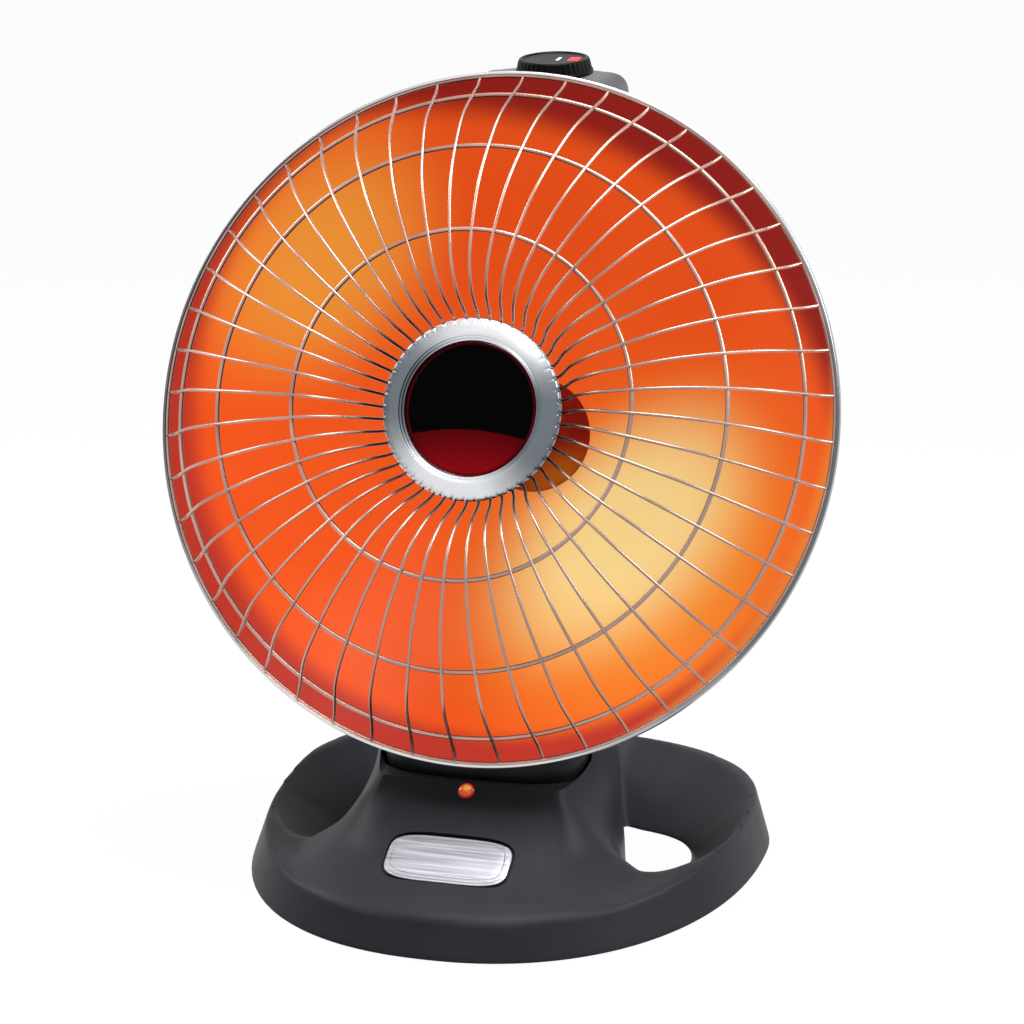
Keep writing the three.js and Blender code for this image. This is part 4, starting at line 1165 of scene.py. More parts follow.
    def notch(self, grow: float) -> Solid:
        """The U-shaped notch between the cheeks, with the hollow of the drum."""
        half, floor, r = self.notch_half + grow, self.notch_floor - grow, self.notch_round
        arc = [math.pi / 2 * k / 10 for k in range(11)]
        left = [(-half + r - r * math.cos(a), floor + r - r * math.sin(a)) for a in arc]
        right = [(half - r + r * math.sin(a), floor + r - r * math.cos(a)) for a in arc]
        place = Matrix.Translation((0, 150, 0)) @ Matrix.Rotation(math.pi / 2, 4, "X")
        cut = prism([(-half, 200), *left, *right, (half, 200)], 300, place)
        relief = block((-half, PIVOT.y, self.notch_floor - 10 - grow), (half, 150, 201))
        round_ = self.drum(half, self.notch_gap + grow, PIVOT)
        return combine(cut, (Cut.JOIN, round_), (Cut.JOIN, relief))

    def hollow(self, inset: float) -> Solid:
        """The space inside the moulding, solid in the cheeks."""
        space = combine(
            self.plate(inset, -1), (Cut.TAKE, self.hand_hole(1, inset)),
            (Cut.TAKE, self.hand_hole(-1, inset)), (Cut.JOIN, self.pod(inset)),
            (Cut.TAKE, self.notch(inset)),
        )
        cheek = self.notch_half - FIT
        return combine(
            space, (Cut.TAKE, block((cheek, -200, 52), (200, 200, 200))),
            (Cut.TAKE, block((-200, -200, 52), (-cheek, 200, 200))),
        )

    def moulding(self) -> Solid:
        """The whole moulding, with the soft edges of a real one."""
        shell = combine(
            self.plate(0, self.floor, "base_moulding"), (Cut.TAKE, self.hand_hole(1, 0)),
            (Cut.TAKE, self.hand_hole(-1, 0)), (Cut.JOIN, self.pod(0)),
        )
        skin = shell.modifiers.new("skin", "REMESH")
        skin.mode = "VOXEL"
        skin.voxel_size = self.voxel * MM
        ease = shell.modifiers.new("ease", "SMOOTH")
        ease.factor = 0.5
        ease.iterations = 6
        settle(shell)
        inlet = along_y(152.0, 18)
        width, height = self.plate_size
        pocket = cushion_ring(width + 3.2, height + 3.2, self.plate_power)
        under = block((-BEYOND, -BEYOND, -BEYOND), (BEYOND, BEYOND, self.floor))
        combine(
            shell, (Cut.TAKE, under), (Cut.TAKE, self.notch(0)), (Cut.TAKE, self.hollow(self.wall)),
            (Cut.TAKE, rod("seat", 6.3, -71.3, 71.3, along_x(PIVOT.y, PIVOT.z))),
            (Cut.TAKE, rod("inlet", 7.3, -20, 1, inlet)),
            (Cut.TAKE, rod("inlet", 10.3, 0, 20, inlet)),
            (Cut.TAKE, prism(pocket, 12, PLATE @ Matrix.Translation((0, 0, -2.2)))),
            (Cut.TAKE, rod("light", 4.2, -16, 12, LIGHT)),
            (Cut.TAKE, rod("light", 5.5, 0.1, 12, LIGHT)),
        )
        return soften(shell, 48)

    def plate_piece(self) -> Solid:
        """The bare brushed plate: a step at its edge and one engraved line inside it."""
        profile = (
            (0, 0), (0, 1.4), (0.3, 1.7), (1.2, 1.75), (1.6, 2.1), (3.0, 2.15), (3.2, 1.8),
            (3.8, 1.8), (4.0, 2.15), (4.6, 2.2), (9.0, 2.2),
        )
        place = PLATE @ Matrix.Translation((0, 0, -1.3))
        return soften(
            stepped_plate("trim_plate_brushed", *self.plate_size, self.plate_power, profile, place),
            28,
        )

    def lens(self) -> Solid:
        """The light's domed lens with its barrel."""
        dome = [(5.2 * math.sin(a), 1 + 2.4 * math.cos(a)) for a in np.linspace(0, math.pi / 2, 14)]
        outline = [*dome, (5.2, 0.4), (3.9, 0.4), (3.9, -9), (2.9, -9), (2.9, 0.3), (0, 0.6)]
        outline[0] = (0, outline[0][1])
        return soften(lathe("power_light_dome", outline, 48, LIGHT), 40)

    def screws(self) -> Solid:
        """Cross-head screws that hold the pan up to its bosses."""
        head = lathe(
            "screw", [(0, 0), (3.6, 0), (3.6, 0.5), (3.2, 1.3), (2.2, 1.7), (0, 1.9)][::-1], 24
        )
        for turn in (0.0, math.pi / 2):
            spin = Matrix.Rotation(turn, 4, "Z")
            combine(head, (Cut.TAKE, block((-2.0, -0.35, 0.9), (2.0, 0.35, 3), spin)))
        at = [(44, -92, 2.1), (-44, -92, 2.1), (34, 96, 2.1), (-34, 96, 2.1)]
        steel = self.finishes.get(Finishes.ZINC)
        return soften(array_round("base_pan_screws", head, at, (math.pi, 0, 0.4), steel), 30)

    def foot(self, name: str, x: float, y: float) -> Solid:
        """One rubber foot: a soft edge, two grip rings and its barbed stem."""
        outline = (
            (0, 0.6), (3.2, 0.6), (3.6, 0.15), (5.2, 0.15), (5.6, 0.6), (6.4, 0.6), (6.8, 0.0),
            (8.4, 0.0), (9, 0.5), (9, 1.5), (8.6, 1.85), (3, 1.9), (3, 5), (4.2, 5), (3.8, 6),
            (2.4, 8.4), (0, 8.6),
        )
        return soften(lathe(name, outline, 48, Matrix.Translation((x, y, 0))), 40)

    def build(self) -> None:
        """Makes and dresses everything that stands still."""
        f = Finishes
        self.dress(self.moulding(), f.ABS_CHARCOAL, "base_plastic", ["base_shell"])
        self.dress(self.plate_piece(), f.BRUSHED_PLATE, "brushed_steel", ["trim_plate"])
        self.dress(self.lens(), f.LENS, "lamp_amber", ["power_light_lens"])
        self.dress(self.screws(), f.ZINC, "zinc_steel")
        for name, x, y in (
            ("foot_front_right", 90, -106), ("foot_front_left", -90, -106),
            ("foot_rear_right", 88, 116), ("foot_rear_left", -88, 116),
        ):
            self.dress(self.foot(name + "_ribbed", x, y), f.RUBBER, "rubber", [name])
        for node, finish in (
            ("base_pan", f.ZINC), ("tip_switch_body", f.NYLON_BLACK),
            ("tip_switch_plunger", f.NYLON_BLACK), ("tip_switch_spring", f.ZINC),
            ("terminal_block", f.PHENOLIC), ("cord_inlet", f.RUBBER), ("power_light_lamp", f.LAMP),
            ("tilt_shaft", f.ZINC), ("friction_washer_right", f.FIBRE),
            ("friction_washer_left", f.FIBRE),
        ):
            self.dress_node(node, finish)


# ------------------------------------------------------------------ dish, band and grille
@dataclass
class Dish(Maker):
    """The spun reflector and the band that holds the grille to it."""

    body: Body = Body.HEAD
    hole: float = 30.0
    levels: int = 40

    @staticmethod
    def at(r: float) -> float:
        """Depth of the dish's face at a radius."""
        return -DISH_DEPTH * (1 - (r / DISH_R) ** 2)

    @staticmethod
    def back(r: float, off: float = DISH_SHEET) -> float:
        """Depth, at a radius, of a surface that lies off behind the dish's face."""
        slope = 2 * DISH_DEPTH * r / DISH_R**2
        return Dish.at(r) - off * math.sqrt(1 + slope * slope)

    def reflector(self) -> Solid:
        """The dish, with a plain hole in its middle and a turned-out flange."""
        radii = np.linspace(self.hole, DISH_R, self.levels)
        flange = RIM_R - BAND_T - FIT
        front = [(r, self.at(r)) for r in radii]
        back = [(r, self.back(r)) for r in radii]
        outline = [*front, (flange - 0.4, 0), (flange, -0.4), (flange, -DISH_SHEET), *back[::-1]]
        return soften(lathe("reflector_dish", outline, 192, HEAD), 40)

    def rim_band(self) -> Solid:
        """The band: a rolled front lip, a flat side and a hemmed back edge."""
        outer, inner, front, back = RIM_R, RIM_R - BAND_LIP, BAND_FRONT, -BAND_BACK
        bend = 1.2
        roll = [
            (outer - bend + bend * math.sin(a), front - bend + bend * math.cos(a))
            for a in np.linspace(0, math.pi / 2, 9)
        ]
        outline = [
            (inner, front), *roll, (outer, back + 1.2), (outer - 0.15, back + 0.4),
            (outer - 0.5, back), (outer - BAND_T, back), (outer - BAND_T, front - BAND_T - 0.3),
            (outer - BAND_T - 0.3, front - BAND_T), (inner, front - BAND_T),
        ]
        return soften(lathe("rim_band_rolled", outline, 256, HEAD), 40)

    def build(self) -> None:
        """Makes and dresses the dish and its band."""
        dish = self.dress(self.reflector(), Finishes.REFLECTOR, "copper_dish", ["reflector"])
        dish.visible_diffuse = False
        dish.visible_glossy = False
        self.dress(self.rim_band(), Finishes.BRIGHT_STEEL, "bright_steel", ["rim_band"])


@dataclass
class Grille(Maker):
    """The domed grille: radial wires in an S-curve, welded to hoops."""

    body: Body = Body.HEAD
    count: int = 48
    phase: float = -0.3
    wire: float = 0.9
    ring: float = 1.3
    weld: float = 0.6
    hoops: tuple[tuple[float, float], ...] = ((189.5, 16.8), (151.5, 53.9), (100.2, 69.5))
    rim_hoop: tuple[float, float] = (204.4, 1.6)
    swirl: Outline = (
        (45, 1.7), (65, 1.5), (75, 1.1), (90, 0.6), (115, 0.3), (140, 0), (165, -0.35),
        (180, -0.6), (197, -0.7), (205, -0.7),
    )

    def route(self) -> np.ndarray:
        """One wire's line from the rim over the dome and down into the hub."""
        over = self.ring + self.wire - self.weld
        lean = (0.86, 0.5, 0.05)
        rim3, rim2, rim1 = [
            (r + over * k, d + over * math.sqrt(1 - k * k)) for (r, d), k in zip(self.hoops, lean)
        ]
        knots = [
            self.rim_hoop, (197.5, 8.4), rim3, (174, 39.5), rim2, (127, 67.5), rim1,
            (82, 68.6), (66, 57), (55.5, 41), (45, 36.2),
        ]
        line = smooth_path(knots, 6)
        at, turn = zip(*self.swirl)
        a = np.radians(self.phase + np.interp(line[:, 0], at, turn))
        return np.column_stack([line[:, 0] * np.cos(a), line[:, 0] * np.sin(a), line[:, 1]])

    def tree(self) -> Tree:
        """Sweeps the wire, copies it round the axis and adds the hoops."""
        tree = Tree("domed_grille")
        tree.size("Wire Count", "NodeSocketInt", self.count)
        tree.size("Wire Radius", "NodeSocketFloat", self.wire * MM)
        tree.size("Hoop Wire Radius", "NodeSocketFloat", self.ring * MM)
        for k, (radius, height) in enumerate([*self.hoops, self.rim_hoop], 1):
            tree.size(f"Hoop {k} Radius", "NodeSocketFloat", radius * MM)
            tree.size(f"Hoop {k} Height", "NodeSocketFloat", height * MM)
        tree.size("Material", "NodeSocketMaterial", self.finishes.get(Finishes.GRILLE_WIRE))
        start = tree.begin()
        line = tree.add("GeometryNodeMeshToCurve", {0: start.outputs["Geometry"]})
        round_ = tree.add(
            "GeometryNodeCurvePrimitiveCircle",
            {"Resolution": 10, "Radius": start.outputs["Wire Radius"]},
        )
        swept = tree.add(
            "GeometryNodeCurveToMesh", {"Curve": line, "Profile Curve": round_, "Fill Caps": True}
        )
        spots = tree.add(
            "GeometryNodePoints", {"Count": start.outputs["Wire Count"], "Position": (0, 0, 0)}
        )
        index = tree.add("GeometryNodeInputIndex")
        step = tree.add(
            "ShaderNodeMath", {0: FULL_TURN, 1: start.outputs["Wire Count"]}, operation="DIVIDE"
        )
        turn = tree.add("ShaderNodeMath", {0: index, 1: step}, operation="MULTIPLY")
        spin = tree.add("ShaderNodeCombineXYZ", {2: turn})
        wires = tree.add(
            "GeometryNodeInstanceOnPoints", {"Points": spots, "Instance": swept, "Rotation": spin}
        )
        join = tree.add("GeometryNodeJoinGeometry", {0: wires})
        section = tree.add(
            "GeometryNodeCurvePrimitiveCircle",
            {"Resolution": 12, "Radius": start.outputs["Hoop Wire Radius"]},
        )
        for k in range(1, len(self.hoops) + 2):
            circle = tree.add(
                "GeometryNodeCurvePrimitiveCircle",
                {"Resolution": 192, "Radius": start.outputs[f"Hoop {k} Radius"]},
            )
            lift = tree.add("ShaderNodeCombineXYZ", {2: start.outputs[f"Hoop {k} Height"]})
            put = tree.add("GeometryNodeTransform", {"Geometry": circle, "Translation": lift})
            hoop = tree.add("GeometryNodeCurveToMesh", {"Curve": put, "Profile Curve": section})
            tree.group.links.new(hoop.outputs[0], join.inputs[0])
        tree.end(join.outputs[0])
        return tree

    def build(self) -> None:
        """Makes the grille in the head's frame and puts it in place."""
        obj = line_object("wire_grille_domed", self.route())
        self.tree().bake(obj)
        self.dress(put_in_head(obj), Finishes.GRILLE_WIRE, "grille_wire", ["wire_grille"])


# ------------------------------------------------------------------ hub and element
@dataclass
class Hub(Maker):
    """The cup that gathers the wires, its bezel and the plain disc in it."""

    body: Body = Body.HEAD
    flange: float = 35.0
    seat: float = 40.8
    cup: float = 43.0
    radius: float = 51.0
    bezel: float = 53.2
    opening: float = 39.2
    flutes: int = 48

    def cup_piece(self) -> Solid:
        """The pressed cup with soft bends."""
        face = self.seat - FIT
        outline = (
            (0, face - 1.5), (40, face - 1.5), (41.2, face - 2.4), (41.5, self.flange - 0.4),
            (42.4, self.flange - 1.5), (50.6, self.flange - 1.5), (51, self.flange - 1.1),
            (51, self.flange - 0.3), (50.7, self.flange), (43.6, self.flange),
            (43, self.flange + 0.6), (43, face - 0.5), (42.5, face), (0, face),
        )
        return soften(lathe("hub_cup_pressed", outline, 128, HEAD), 40)

    def ripple(self, angle: float, r: float, z: float) -> float:
        """A short notch over each wire in the bezel's outer shoulder."""
        on_slope = self.seat + 0.8 < z < self.seat + 4.9 and r > self.bezel - 3
        notch = max(0.0, math.cos(self.flutes * angle)) ** 6
        return r - (0.9 * notch if on_slope else 0)

    def bezel_piece(self) -> Solid:
        """The bezel: a rounded outer shoulder, a broad slope and a raised inner lip."""
        low, top = self.seat, self.seat + 7
        shoulder = [
            (self.bezel - 2.2 + 2.2 * math.cos(a), low + 2.0 + 2.6 * math.sin(a))
            for a in np.linspace(0, math.pi / 2.4, 8)
        ]
        slope = [(49.4, low + 5.4), (47.2, low + 6.1), (44.6, low + 6.7), (43.2, low + 6.9)]
        lip = [(42.6, low + 6.6), (42.2, low + 5.2), (41.6, low + 4.9), (40.6, low + 5.2),
               (40.2, low + 5.6), (39.6, low + 5.5), (39.2, low + 4.6)]
        outline = [(self.opening, low), (self.bezel - 0.3, low), (self.bezel, low + 0.4), *shoulder,
                   *slope, *lip]
        return soften(lathe("hub_bezel_turned", outline, 480, HEAD, self.ripple), 36)

    def disc_piece(self) -> Solid:
        """The crowned disc, left bare."""
        low = self.seat
        edge = self.opening - FIT
        crown = [(r, low + 4.6 - 1.2 * (r / edge) ** 2) for r in np.linspace(edge - 1.2, 0, 16)]
        outline = [(0, low), (edge - 0.1, low), (edge, low + 0.2), (edge, low + 2.6),
                   (edge - 0.5, low + 3.2), *crown]
        return soften(lathe("hub_disc_enamel", outline, 128, HEAD), 36)

    def build(self) -> None:
        """Makes and dresses the hub."""
        f = Finishes
        self.dress(self.cup_piece(), f.BRIGHT_STEEL, "bright_steel", ["hub_cup"])
        self.dress(self.bezel_piece(), f.TURNED_STEEL, "brushed_steel", ["hub_bezel"])
        self.dress(self.disc_piece(), f.ENAMEL, "disc_enamel", ["hub_disc"])


@dataclass
class Element(Maker):
    """The cone element: socket, post, core, coil and cap."""

    body: Body = Body.HEAD
    start: float = -58.0
    length: float = 76.0
    core: float = 14.0
    wire: float = 1.5
    turns: int = 8

    def coil(self) -> Solid:
        """The round wire wound on the core, swept with geometry nodes."""
        radius = self.core + self.wire + 4 * FIT
        low = self.start + 6 + self.wire + 1
        high = self.start + self.length - self.wire - 1
        t = np.linspace(0, 1, self.turns * 32 + 1)
        a = t * self.turns * FULL_TURN
        line = np.column_stack([radius * np.cos(a), radius * np.sin(a), low + (high - low) * t])
        obj = line_object("element_coil_wound", line)
        tree = Tree("coil_sweep")
        tree.size("Wire Radius", "NodeSocketFloat", self.wire * MM)
        tree.size("Material", "NodeSocketMaterial", self.finishes.get(Finishes.HOT_WIRE))
        start = tree.begin()
        curve = tree.add("GeometryNodeMeshToCurve", {0: start.outputs["Geometry"]})
        ring = tree.add(
            "GeometryNodeCurvePrimitiveCircle",
            {"Resolution": 12, "Radius": start.outputs["Wire Radius"]},
        )
        swept = tree.add(
            "GeometryNodeCurveToMesh", {"Curve": curve, "Profile Curve": ring, "Fill Caps": True}
        )
        tree.end(swept.outputs[0])
        tree.bake(obj)
        return put_in_head(obj)

    def socket(self) -> Solid:
        """The ceramic socket: a rounded flange with a raised ring."""
        back = Dish.at(36) + 4 * FIT
        front = back + 3
        outline = (
            (0, back - 12), (27, back - 12), (28, back - 11), (28, back), (35.4, back),
            (36, back + 0.6), (36, front - 1.2), (34.8, front), (26, front), (25, front - 0.6),
            (22, front - 0.6), (21, front), (0, front),
        )
        obj = lathe("element_socket_fired", outline, 96, HEAD)
        for side in (-1, 1):
            place = HEAD @ Matrix.Translation((side * 12, 0, 0))
            combine(obj, (Cut.TAKE, rod("pin", 2.5, back - 13, back - 6, place, 24)))
        return soften(obj, 36)

    def core_piece(self) -> Solid:
        """The core: a collar and a plain barrel."""
        end = self.start + self.length
        outline = [(0, self.start), (16.4, self.start), (17, self.start + 0.6),
                   (17, self.start + 3.4), (14.6, self.start + 5.4), (14, self.start + 6)]
        outline += [(14, end - 0.4), (13.6, end), (0, end)]
        return soften(lathe("element_core_fired", outline, 72, HEAD), 36)

    def cap(self) -> Solid:
        """The end cap with a soft shoulder."""
        low = self.start + self.length + FIT
        shoulder = np.linspace(0, math.pi / 2, 8)
        edge = [(13 + 4 * math.cos(a), low + 2 + 4 * math.sin(a)) for a in shoulder]
        outline = [(0, low), (16.6, low), (17, low + 0.4), *edge, (0, low + 6)]
        return soften(lathe("element_cap_fired", outline, 72, HEAD), 36)

    def build(self) -> None:
        """Makes and dresses the element."""
        f = Finishes
        self.dress(self.coil(), f.HOT_WIRE, "hot_wire", ["element_coil"])
        self.dress(self.socket(), f.CERAMIC_PAINTED_LIGHT, "ceramic", ["element_socket"])
        self.dress(self.core_piece(), f.CERAMIC, "ceramic", ["element_core"])
        self.dress(self.cap(), f.CERAMIC, "ceramic", ["element_cap"])
        for node, finish in (
            ("element_pin_right", f.BRASS), ("element_pin_left", f.BRASS), ("element_post", f.ZINC),
            ("element_bracket", f.ZINC), ("thermal_cutout", f.BRASS),
        ):
            self.dress_node(node, finish)


# ------------------------------------------------------------------ rear housing and controls
@dataclass
class RearHousing(Maker):
    """The hollow housing behind the dish, with the neck's drum at its foot."""

    body: Body = Body.HEAD
    rows: tuple[tuple[float, float, float, float], ...] = (
        (-190, 58, -110, -44), (-150, 59, -123, -24), (-100, 57, -133, 0), (-40, 55, -141, 0),
        (30, 53, -141, 0), (90, 52, -131, 0), (140, 50, -114, 0), (178, 48, -94, 0),
    )
    round_: float = 16.0
    wall: float = 3.0
    gap: float = 1.6
    vents: int = 6
    base: BaseMoulding | None = None

    def spine(self, inset: float, name: str = "spine") -> Solid:
        """The housing's outer or inner form, lofted through its rows."""
        corner = 14
        radius = max(self.round_ - inset, 4)
        top = self.rows[-1][0]
        line = smooth_path(self.rows, 6)
        rings = []
        for k, (v, half, rear, front) in enumerate(line):
            level = v + inset if k == 0 else v + (5 if inset and v >= top else 0)
            w, d = half - inset, rear + inset
            ring = [(-w, level, front - inset), (w, level, front - inset)]
            for side in (1, -1):
                for i in range(corner + 1):
                    a = math.pi / 2 * (i / corner if side > 0 else 1 - i / corner)
                    x = side * (w - radius + radius * math.cos(a))
                    ring.append((x, level, d + radius - radius * math.sin(a)))
            rings.append(np.array(ring))
        return loft(name, rings, HEAD)

    def envelope(self) -> Solid:
        """The back of the dish and its band, grown by the gap."""
        outline = []
        for r in np.linspace(0, DISH_R, 32):
            outline.append((r, Dish.back(r, DISH_SHEET + self.gap)))
        grown = RIM_R + self.gap
        outline += [(grown, -BAND_BACK - self.gap), (grown, BEYOND), (0, BEYOND)]
        return lathe("envelope", outline, 192, HEAD)

    def housing(self) -> Solid:
        """The housing with its vents, bosses and shaft bore."""
        end = 66 - 2 * FIT - 1.4
        inner = combine(
            self.base.drum(end - self.wall, -self.wall, PIVOT), (Cut.JOIN, self.spine(self.wall)),
            (Cut.TAKE, rod("sleeve", 12, -end, end, along_x(PIVOT.y, PIVOT.z))),
        )
        body = combine(
            self.spine(0, "rear_housing_moulded"), (Cut.JOIN, self.base.drum(end, 0, PIVOT)),
            (Cut.TAKE, self.envelope()), (Cut.TAKE, inner),
        )
        for i in range(self.vents):
            h = 60 + (i - (self.vents - 1) / 2) * 9
            slot = rounded_ring(56, 3.2, 1.55, 6)
            combine(body, (Cut.TAKE, prism(slot, 30, HEAD @ Matrix.Translation((0, h, -150)))))
        dish_back = Dish.at(36) - DISH_SHEET
        for h in (-55, 55):
            place = HEAD @ Matrix.Translation((0, h, 0))
            combine(body, (Cut.JOIN, rod("boss", 5, -137, dish_back - 2.8 - FIT, place, 32)))
        combine(body, (Cut.TAKE, rod("bore", 6.5, -100, 100, along_x(PIVOT.y, PIVOT.z))))
        return soften(body, 34)

    def build(self) -> None:
        """Makes and dresses the housing."""
        self.dress(self.housing(), Finishes.ABS_BLACK, "gloss_black", ["rear_housing"])


@dataclass
class Controls(Maker):
    """The control housing on top, the thermostat and its knob."""

    body: Body = Body.HEAD
    half: float = 48.0
    crown: float = 3.2
    round_: float = 14.0
    wall: float = 2.6
    seam: float = 178.3
    knob_x: float = 9.0
    knob_top: float = 21.3
    knob_h: float = 9.5
    low: float = 1.2
    front: float = -48.0
    back: float = 32.0
    envelope: Callable[[], Solid] | None = None

    def shape(self, inset: float) -> Solid:
        """The housing's block: a crowned front outline met by a rounded side outline."""
        half, r, low = self.half - inset, self.round_, -100.0
        edge = -self.crown - inset
        t = np.linspace(0, 1, 13)[:, None]

        def curve(a: Outline) -> np.ndarray:
            """A quadratic curve through its three control points."""
            p = np.array(a, float)
            return (1 - t) ** 2 * p[0] + 2 * t * (1 - t) * p[1] + t**2 * p[2]

        front = np.vstack(
            [
                [(half, low)], curve([(half, edge - r), (half, edge), (half - r, edge)]),
                curve([(half - r, edge), (0, self.crown - inset), (r - half, edge)])[1:],
                curve([(r - half, edge), (-half, edge), (-half, edge - r)])[1:], [(-half, low)],
            ]
        )
        y0, y1 = self.front + inset, self.back - inset
        side = np.vstack(
            [
                [(y0, low), (y1, low)], curve([(y1, -inset - r), (y1, -inset), (y1 - r, -inset)]),
                [(y1 - r, 10), (y0, 10)],
            ]
        )
        far = Vector((0, THROUGH, 0))
        across = CONTROLS @ Matrix.Translation(far) @ Matrix.Rotation(math.pi / 2, 4, "X")
        basis = Matrix(((0, 0, 1, 0), (1, 0, 0, 0), (0, 1, 0, 0), (0, 0, 0, 1)))
        along = CONTROLS @ Matrix.Translation((-THROUGH, 0, 0)) @ basis
        return combine(
            prism(front, 2 * THROUGH, across), (Cut.KEEP, prism(side, 2 * THROUGH, along))
        )

    def housing(self) -> Solid:
        """The hollow cover, cut to the dish and to the seam with the rear housing."""
        body = combine(self.shape(0), (Cut.TAKE, self.shape(self.wall)))
        body.name = "control_housing_moulded"
        neck = CONTROLS @ Matrix.Translation((self.knob_x, 0, 0))
        combine(
            body,
            (Cut.TAKE, block((-THROUGH, -400, -300), (THROUGH, self.seam, 300), HEAD)),
            (Cut.TAKE, self.envelope()),
            (Cut.TAKE, rod("neck", 4.9, -20, 20, neck)),
        )
        return soften(body, 34)

    def ripple(self, angle: float, r: float, z: float) -> float:
        """Finger flutes round the knob's side."""
        on_side = r > self.knob_top - 0.5 and self.low + 2.6 < z < self.low + self.knob_h - 0.9
        return r - (0.45 * (0.5 + 0.5 * math.cos(40 * angle)) if on_side else 0)

    def knob(self) -> Solid:
        """The knob: a skirt, a fluted side and a dished top."""
        low, top = self.low, self.low + self.knob_h
        outline = (
            (0, low + 2), (21, low + 2), (21, low), (23.7, low), (24, low + 0.3), (24, low + 2.0),
            (23.6, low + 2.4), (23.2, low + 2.7), (22.0, top - 1.3), (21.6, top - 0.6),
            (21.0, top - 0.15), (20.3, top), (19.4, top - 0.25), (18.8, top - 0.8), (0, top - 0.8),
        )
        place = CONTROLS @ Matrix.Translation((self.knob_x, 0, 0))
        obj = lathe("thermostat_knob_fluted", outline, 240, place, self.ripple)
        combine(obj, (Cut.TAKE, rod("stem", 3.1, low - 1, top - 3.7, place, 32)))
        return soften(obj, 36)

    def mark(self, name: str, x: float, size: Sequence[float]) -> Solid:
        """One printed mark on the knob's top, off to its right."""
        top = self.low + self.knob_h - 0.8
        rings = []
        for inset, z in ((0, top - 0.2), (0, top + 0.1), (0.1, top + 0.15)):
            ring = rounded_ring(size[0] - 2 * inset, size[1] - 2 * inset, 0.9 - inset, 5)
            ring[:, 0] += x
            rings.append(np.column_stack([ring, np.full(len(ring), z)]))
        return soften(loft(name, rings, CONTROLS @ Matrix.Translation((self.knob_x, 0, 0))), 36)

    def build(self) -> None:
        """Makes and dresses the controls."""
        f = Finishes
        self.dress(self.housing(), f.ABS_GLOSS, "gloss_black", ["control_housing"])
        self.dress(self.knob(), f.ABS_KNOB, "gloss_black", ["thermostat_knob"], Body.KNOB)
        white = self.mark("knob_tick_white", 3.0, (2.0, 10.0))
        red = self.mark("knob_mark_red", 12.8, (7.0, 12.0))
        self.dress(white, f.WHITE_MARK, "gloss_black", (), Body.KNOB)
        self.dress(red, f.RED_MARK, "gloss_black", (), Body.KNOB)
        self.dress_node("thermostat_body", f.ZINC)
        self.dress_node("thermostat_stem", f.BRASS)


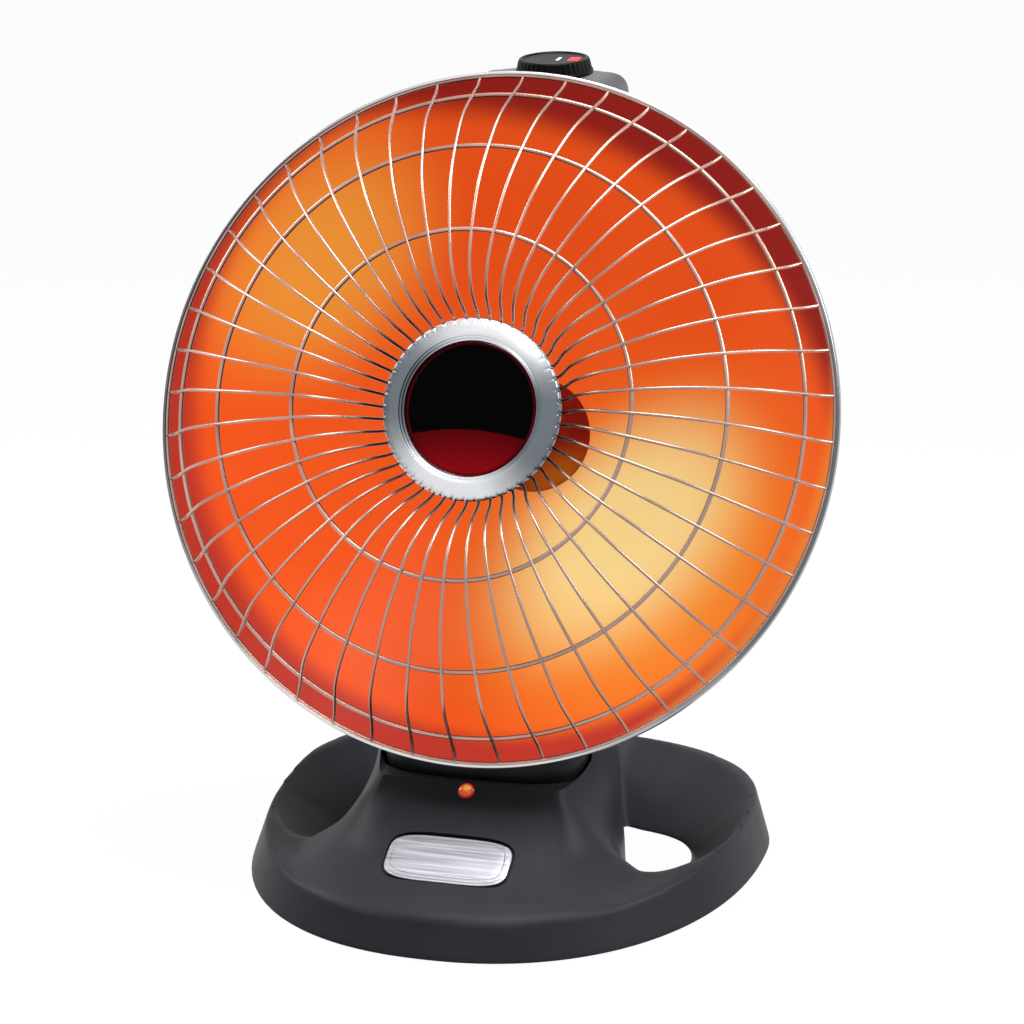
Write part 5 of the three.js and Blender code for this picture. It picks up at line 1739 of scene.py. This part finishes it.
# ------------------------------------------------------------------ studio
@dataclass
class Studio:
    """Pale floor, white surroundings, soft lamps and the photograph's camera."""

    azimuth: float = 15.5
    elevation: float = 14.0
    distance: float = 1600.0
    focal_px: float = 2624.0
    aim: tuple[float, float, float] = (0.0, 20.0, 219.0)
    shift_right: float = 3.5
    around: float = 0.04
    floor_colour: str = "#FBFBFB"
    floor_bounce: str = "#303030"
    floor_white: float = 0.965

    @staticmethod
    def aimed(name: str, data: bpy.types.ID, place: Sequence[float], toward: Vector) -> Solid:
        """An object that looks one way from a place in metres."""
        obj = in_scene(name, data)
        obj.location = place
        obj.rotation_mode = "QUATERNION"
        obj.rotation_quaternion = toward.to_track_quat("-Z", "Y")
        return obj

    def camera(self) -> None:
        """Puts the camera where the photograph was taken from."""
        a, e = math.radians(self.azimuth), math.radians(self.elevation)
        back = Vector((math.sin(a) * math.cos(e), -math.cos(a) * math.cos(e), math.sin(e)))
        right = Vector((math.cos(a), math.sin(a), 0))
        target = Vector(self.aim) + right * self.shift_right
        data = bpy.data.cameras.new("camera")
        data.sensor_width = 36
        data.lens = self.focal_px * data.sensor_width / IMAGE
        data.clip_end = 50
        place = (target + back * self.distance) * MM
        bpy.context.scene.camera = self.aimed("camera", data, place, -back)

    def lamp(
        self, name: str, place: Sequence[float], size: float, power: float, colour: str = "#FFFFFF"
    ) -> None:
        """Adds one soft lamp that looks at the heater's middle.

        Args:
            name: Name of the lamp.
            place: Where it stands, in metres.
            size: Side of its square, in metres.
            power: Power in watts.
            colour: Its colour.
        """
        data = bpy.data.lights.new(name, "AREA")
        data.size = size
        data.energy = power
        data.color = linear(colour)[:3]
        self.aimed(name, data, place, Vector((0, 0, 0.22)) - Vector(place))

    @staticmethod
    def seen(tree: NodeTree) -> Socket:
        """1 for what the camera sees, directly, in gloss or through glass, and 0 otherwise."""
        path = add_node(tree, "ShaderNodeLightPath")
        seen = path.outputs["Is Camera Ray"]
        for also in ("Is Glossy Ray", "Is Transmission Ray"):
            seen = add_node(
                tree, "ShaderNodeMath", {0: seen, 1: path.outputs[also]}, operation="MAXIMUM"
            ).outputs[0]
        return seen

    def surroundings(self) -> None:
        """White to the camera and to gloss, softer as a light."""
        world = bpy.data.worlds.new("studio")
        world.use_nodes = True
        tree = world.node_tree
        tree.nodes.clear()
        seen = self.seen(tree)
        share = add_node(
            tree, "ShaderNodeMapRange", {"Value": seen, "To Min": self.around, "To Max": 1.0}
        )
        light = add_node(tree, "ShaderNodeBackground", {"Color": (1, 1, 1, 1), "Strength": share})
        add_node(tree, "ShaderNodeOutputWorld", {"Surface": light})
        bpy.context.scene.world = world

    def floor(self) -> None:
        """A wide pale floor that keeps the heater's shadow."""
        mesh = bpy.data.meshes.new("floor")
        s = 12.0
        mesh.from_pydata([(-s, -s, 0), (s, -s, 0), (s, s, 0), (-s, s, 0)], [], [(0, 1, 2, 3)])
        obj = in_scene("floor", mesh)
        material = bpy.data.materials.new("Painted_studio_floor")
        material.use_nodes = True
        tree = material.node_tree
        tree.nodes.clear()
        seen = self.seen(tree)
        colour = add_node(
            tree, "ShaderNodeMix",
            {0: seen, 6: linear(self.floor_bounce), 7: linear(self.floor_colour)}, data_type="RGBA",
        )
        paint = add_node(tree, "ShaderNodeBsdfDiffuse", {"Color": colour.outputs[2]})
        white = add_node(tree, "ShaderNodeEmission", {"Color": (1, 1, 1, 1), "Strength": 1.0})
        part = add_node(
            tree, "ShaderNodeMath", {0: seen, 1: self.floor_white}, operation="MULTIPLY"
        )
        mixed = add_node(tree, "ShaderNodeMixShader", {0: part, 1: paint, 2: white})
        add_node(tree, "ShaderNodeOutputMaterial", {"Surface": mixed})
        mesh.materials.append(material)

    def build(self) -> None:
        """Sets the camera, the floor, the surroundings and the lamps."""
        bpy.context.scene.view_settings.view_transform = "Standard"
        self.camera()
        self.surroundings()
        self.floor()
        self.lamp("top", (0.3, -0.1, 2.3), 1.1, 54)
        self.lamp("left", (-1.6, 0.1, 1.3), 0.8, 18)
        self.lamp("right", (1.5, 0.1, 1.2), 0.8, 24)
        self.lamp("front", (0.5, -1.2, 2.3), 1.0, 4)


def main() -> None:
    """Builds every sub-assembly in order and reports its pieces."""
    logging.basicConfig(level=logging.INFO, format="%(name)s: %(message)s")
    finishes = Finishes()
    Studio().build()
    base = BaseMoulding(finishes)
    rear = RearHousing(finishes, base=base)
    for maker in (
        base, Dish(finishes), Grille(finishes), Hub(finishes), Element(finishes), rear,
        Controls(finishes, envelope=rear.envelope),
    ):
        maker.build()
        LOG.info("%s: %s", type(maker).__name__, ", ".join(maker.pieces))


if __name__ == "__main__":
    main()
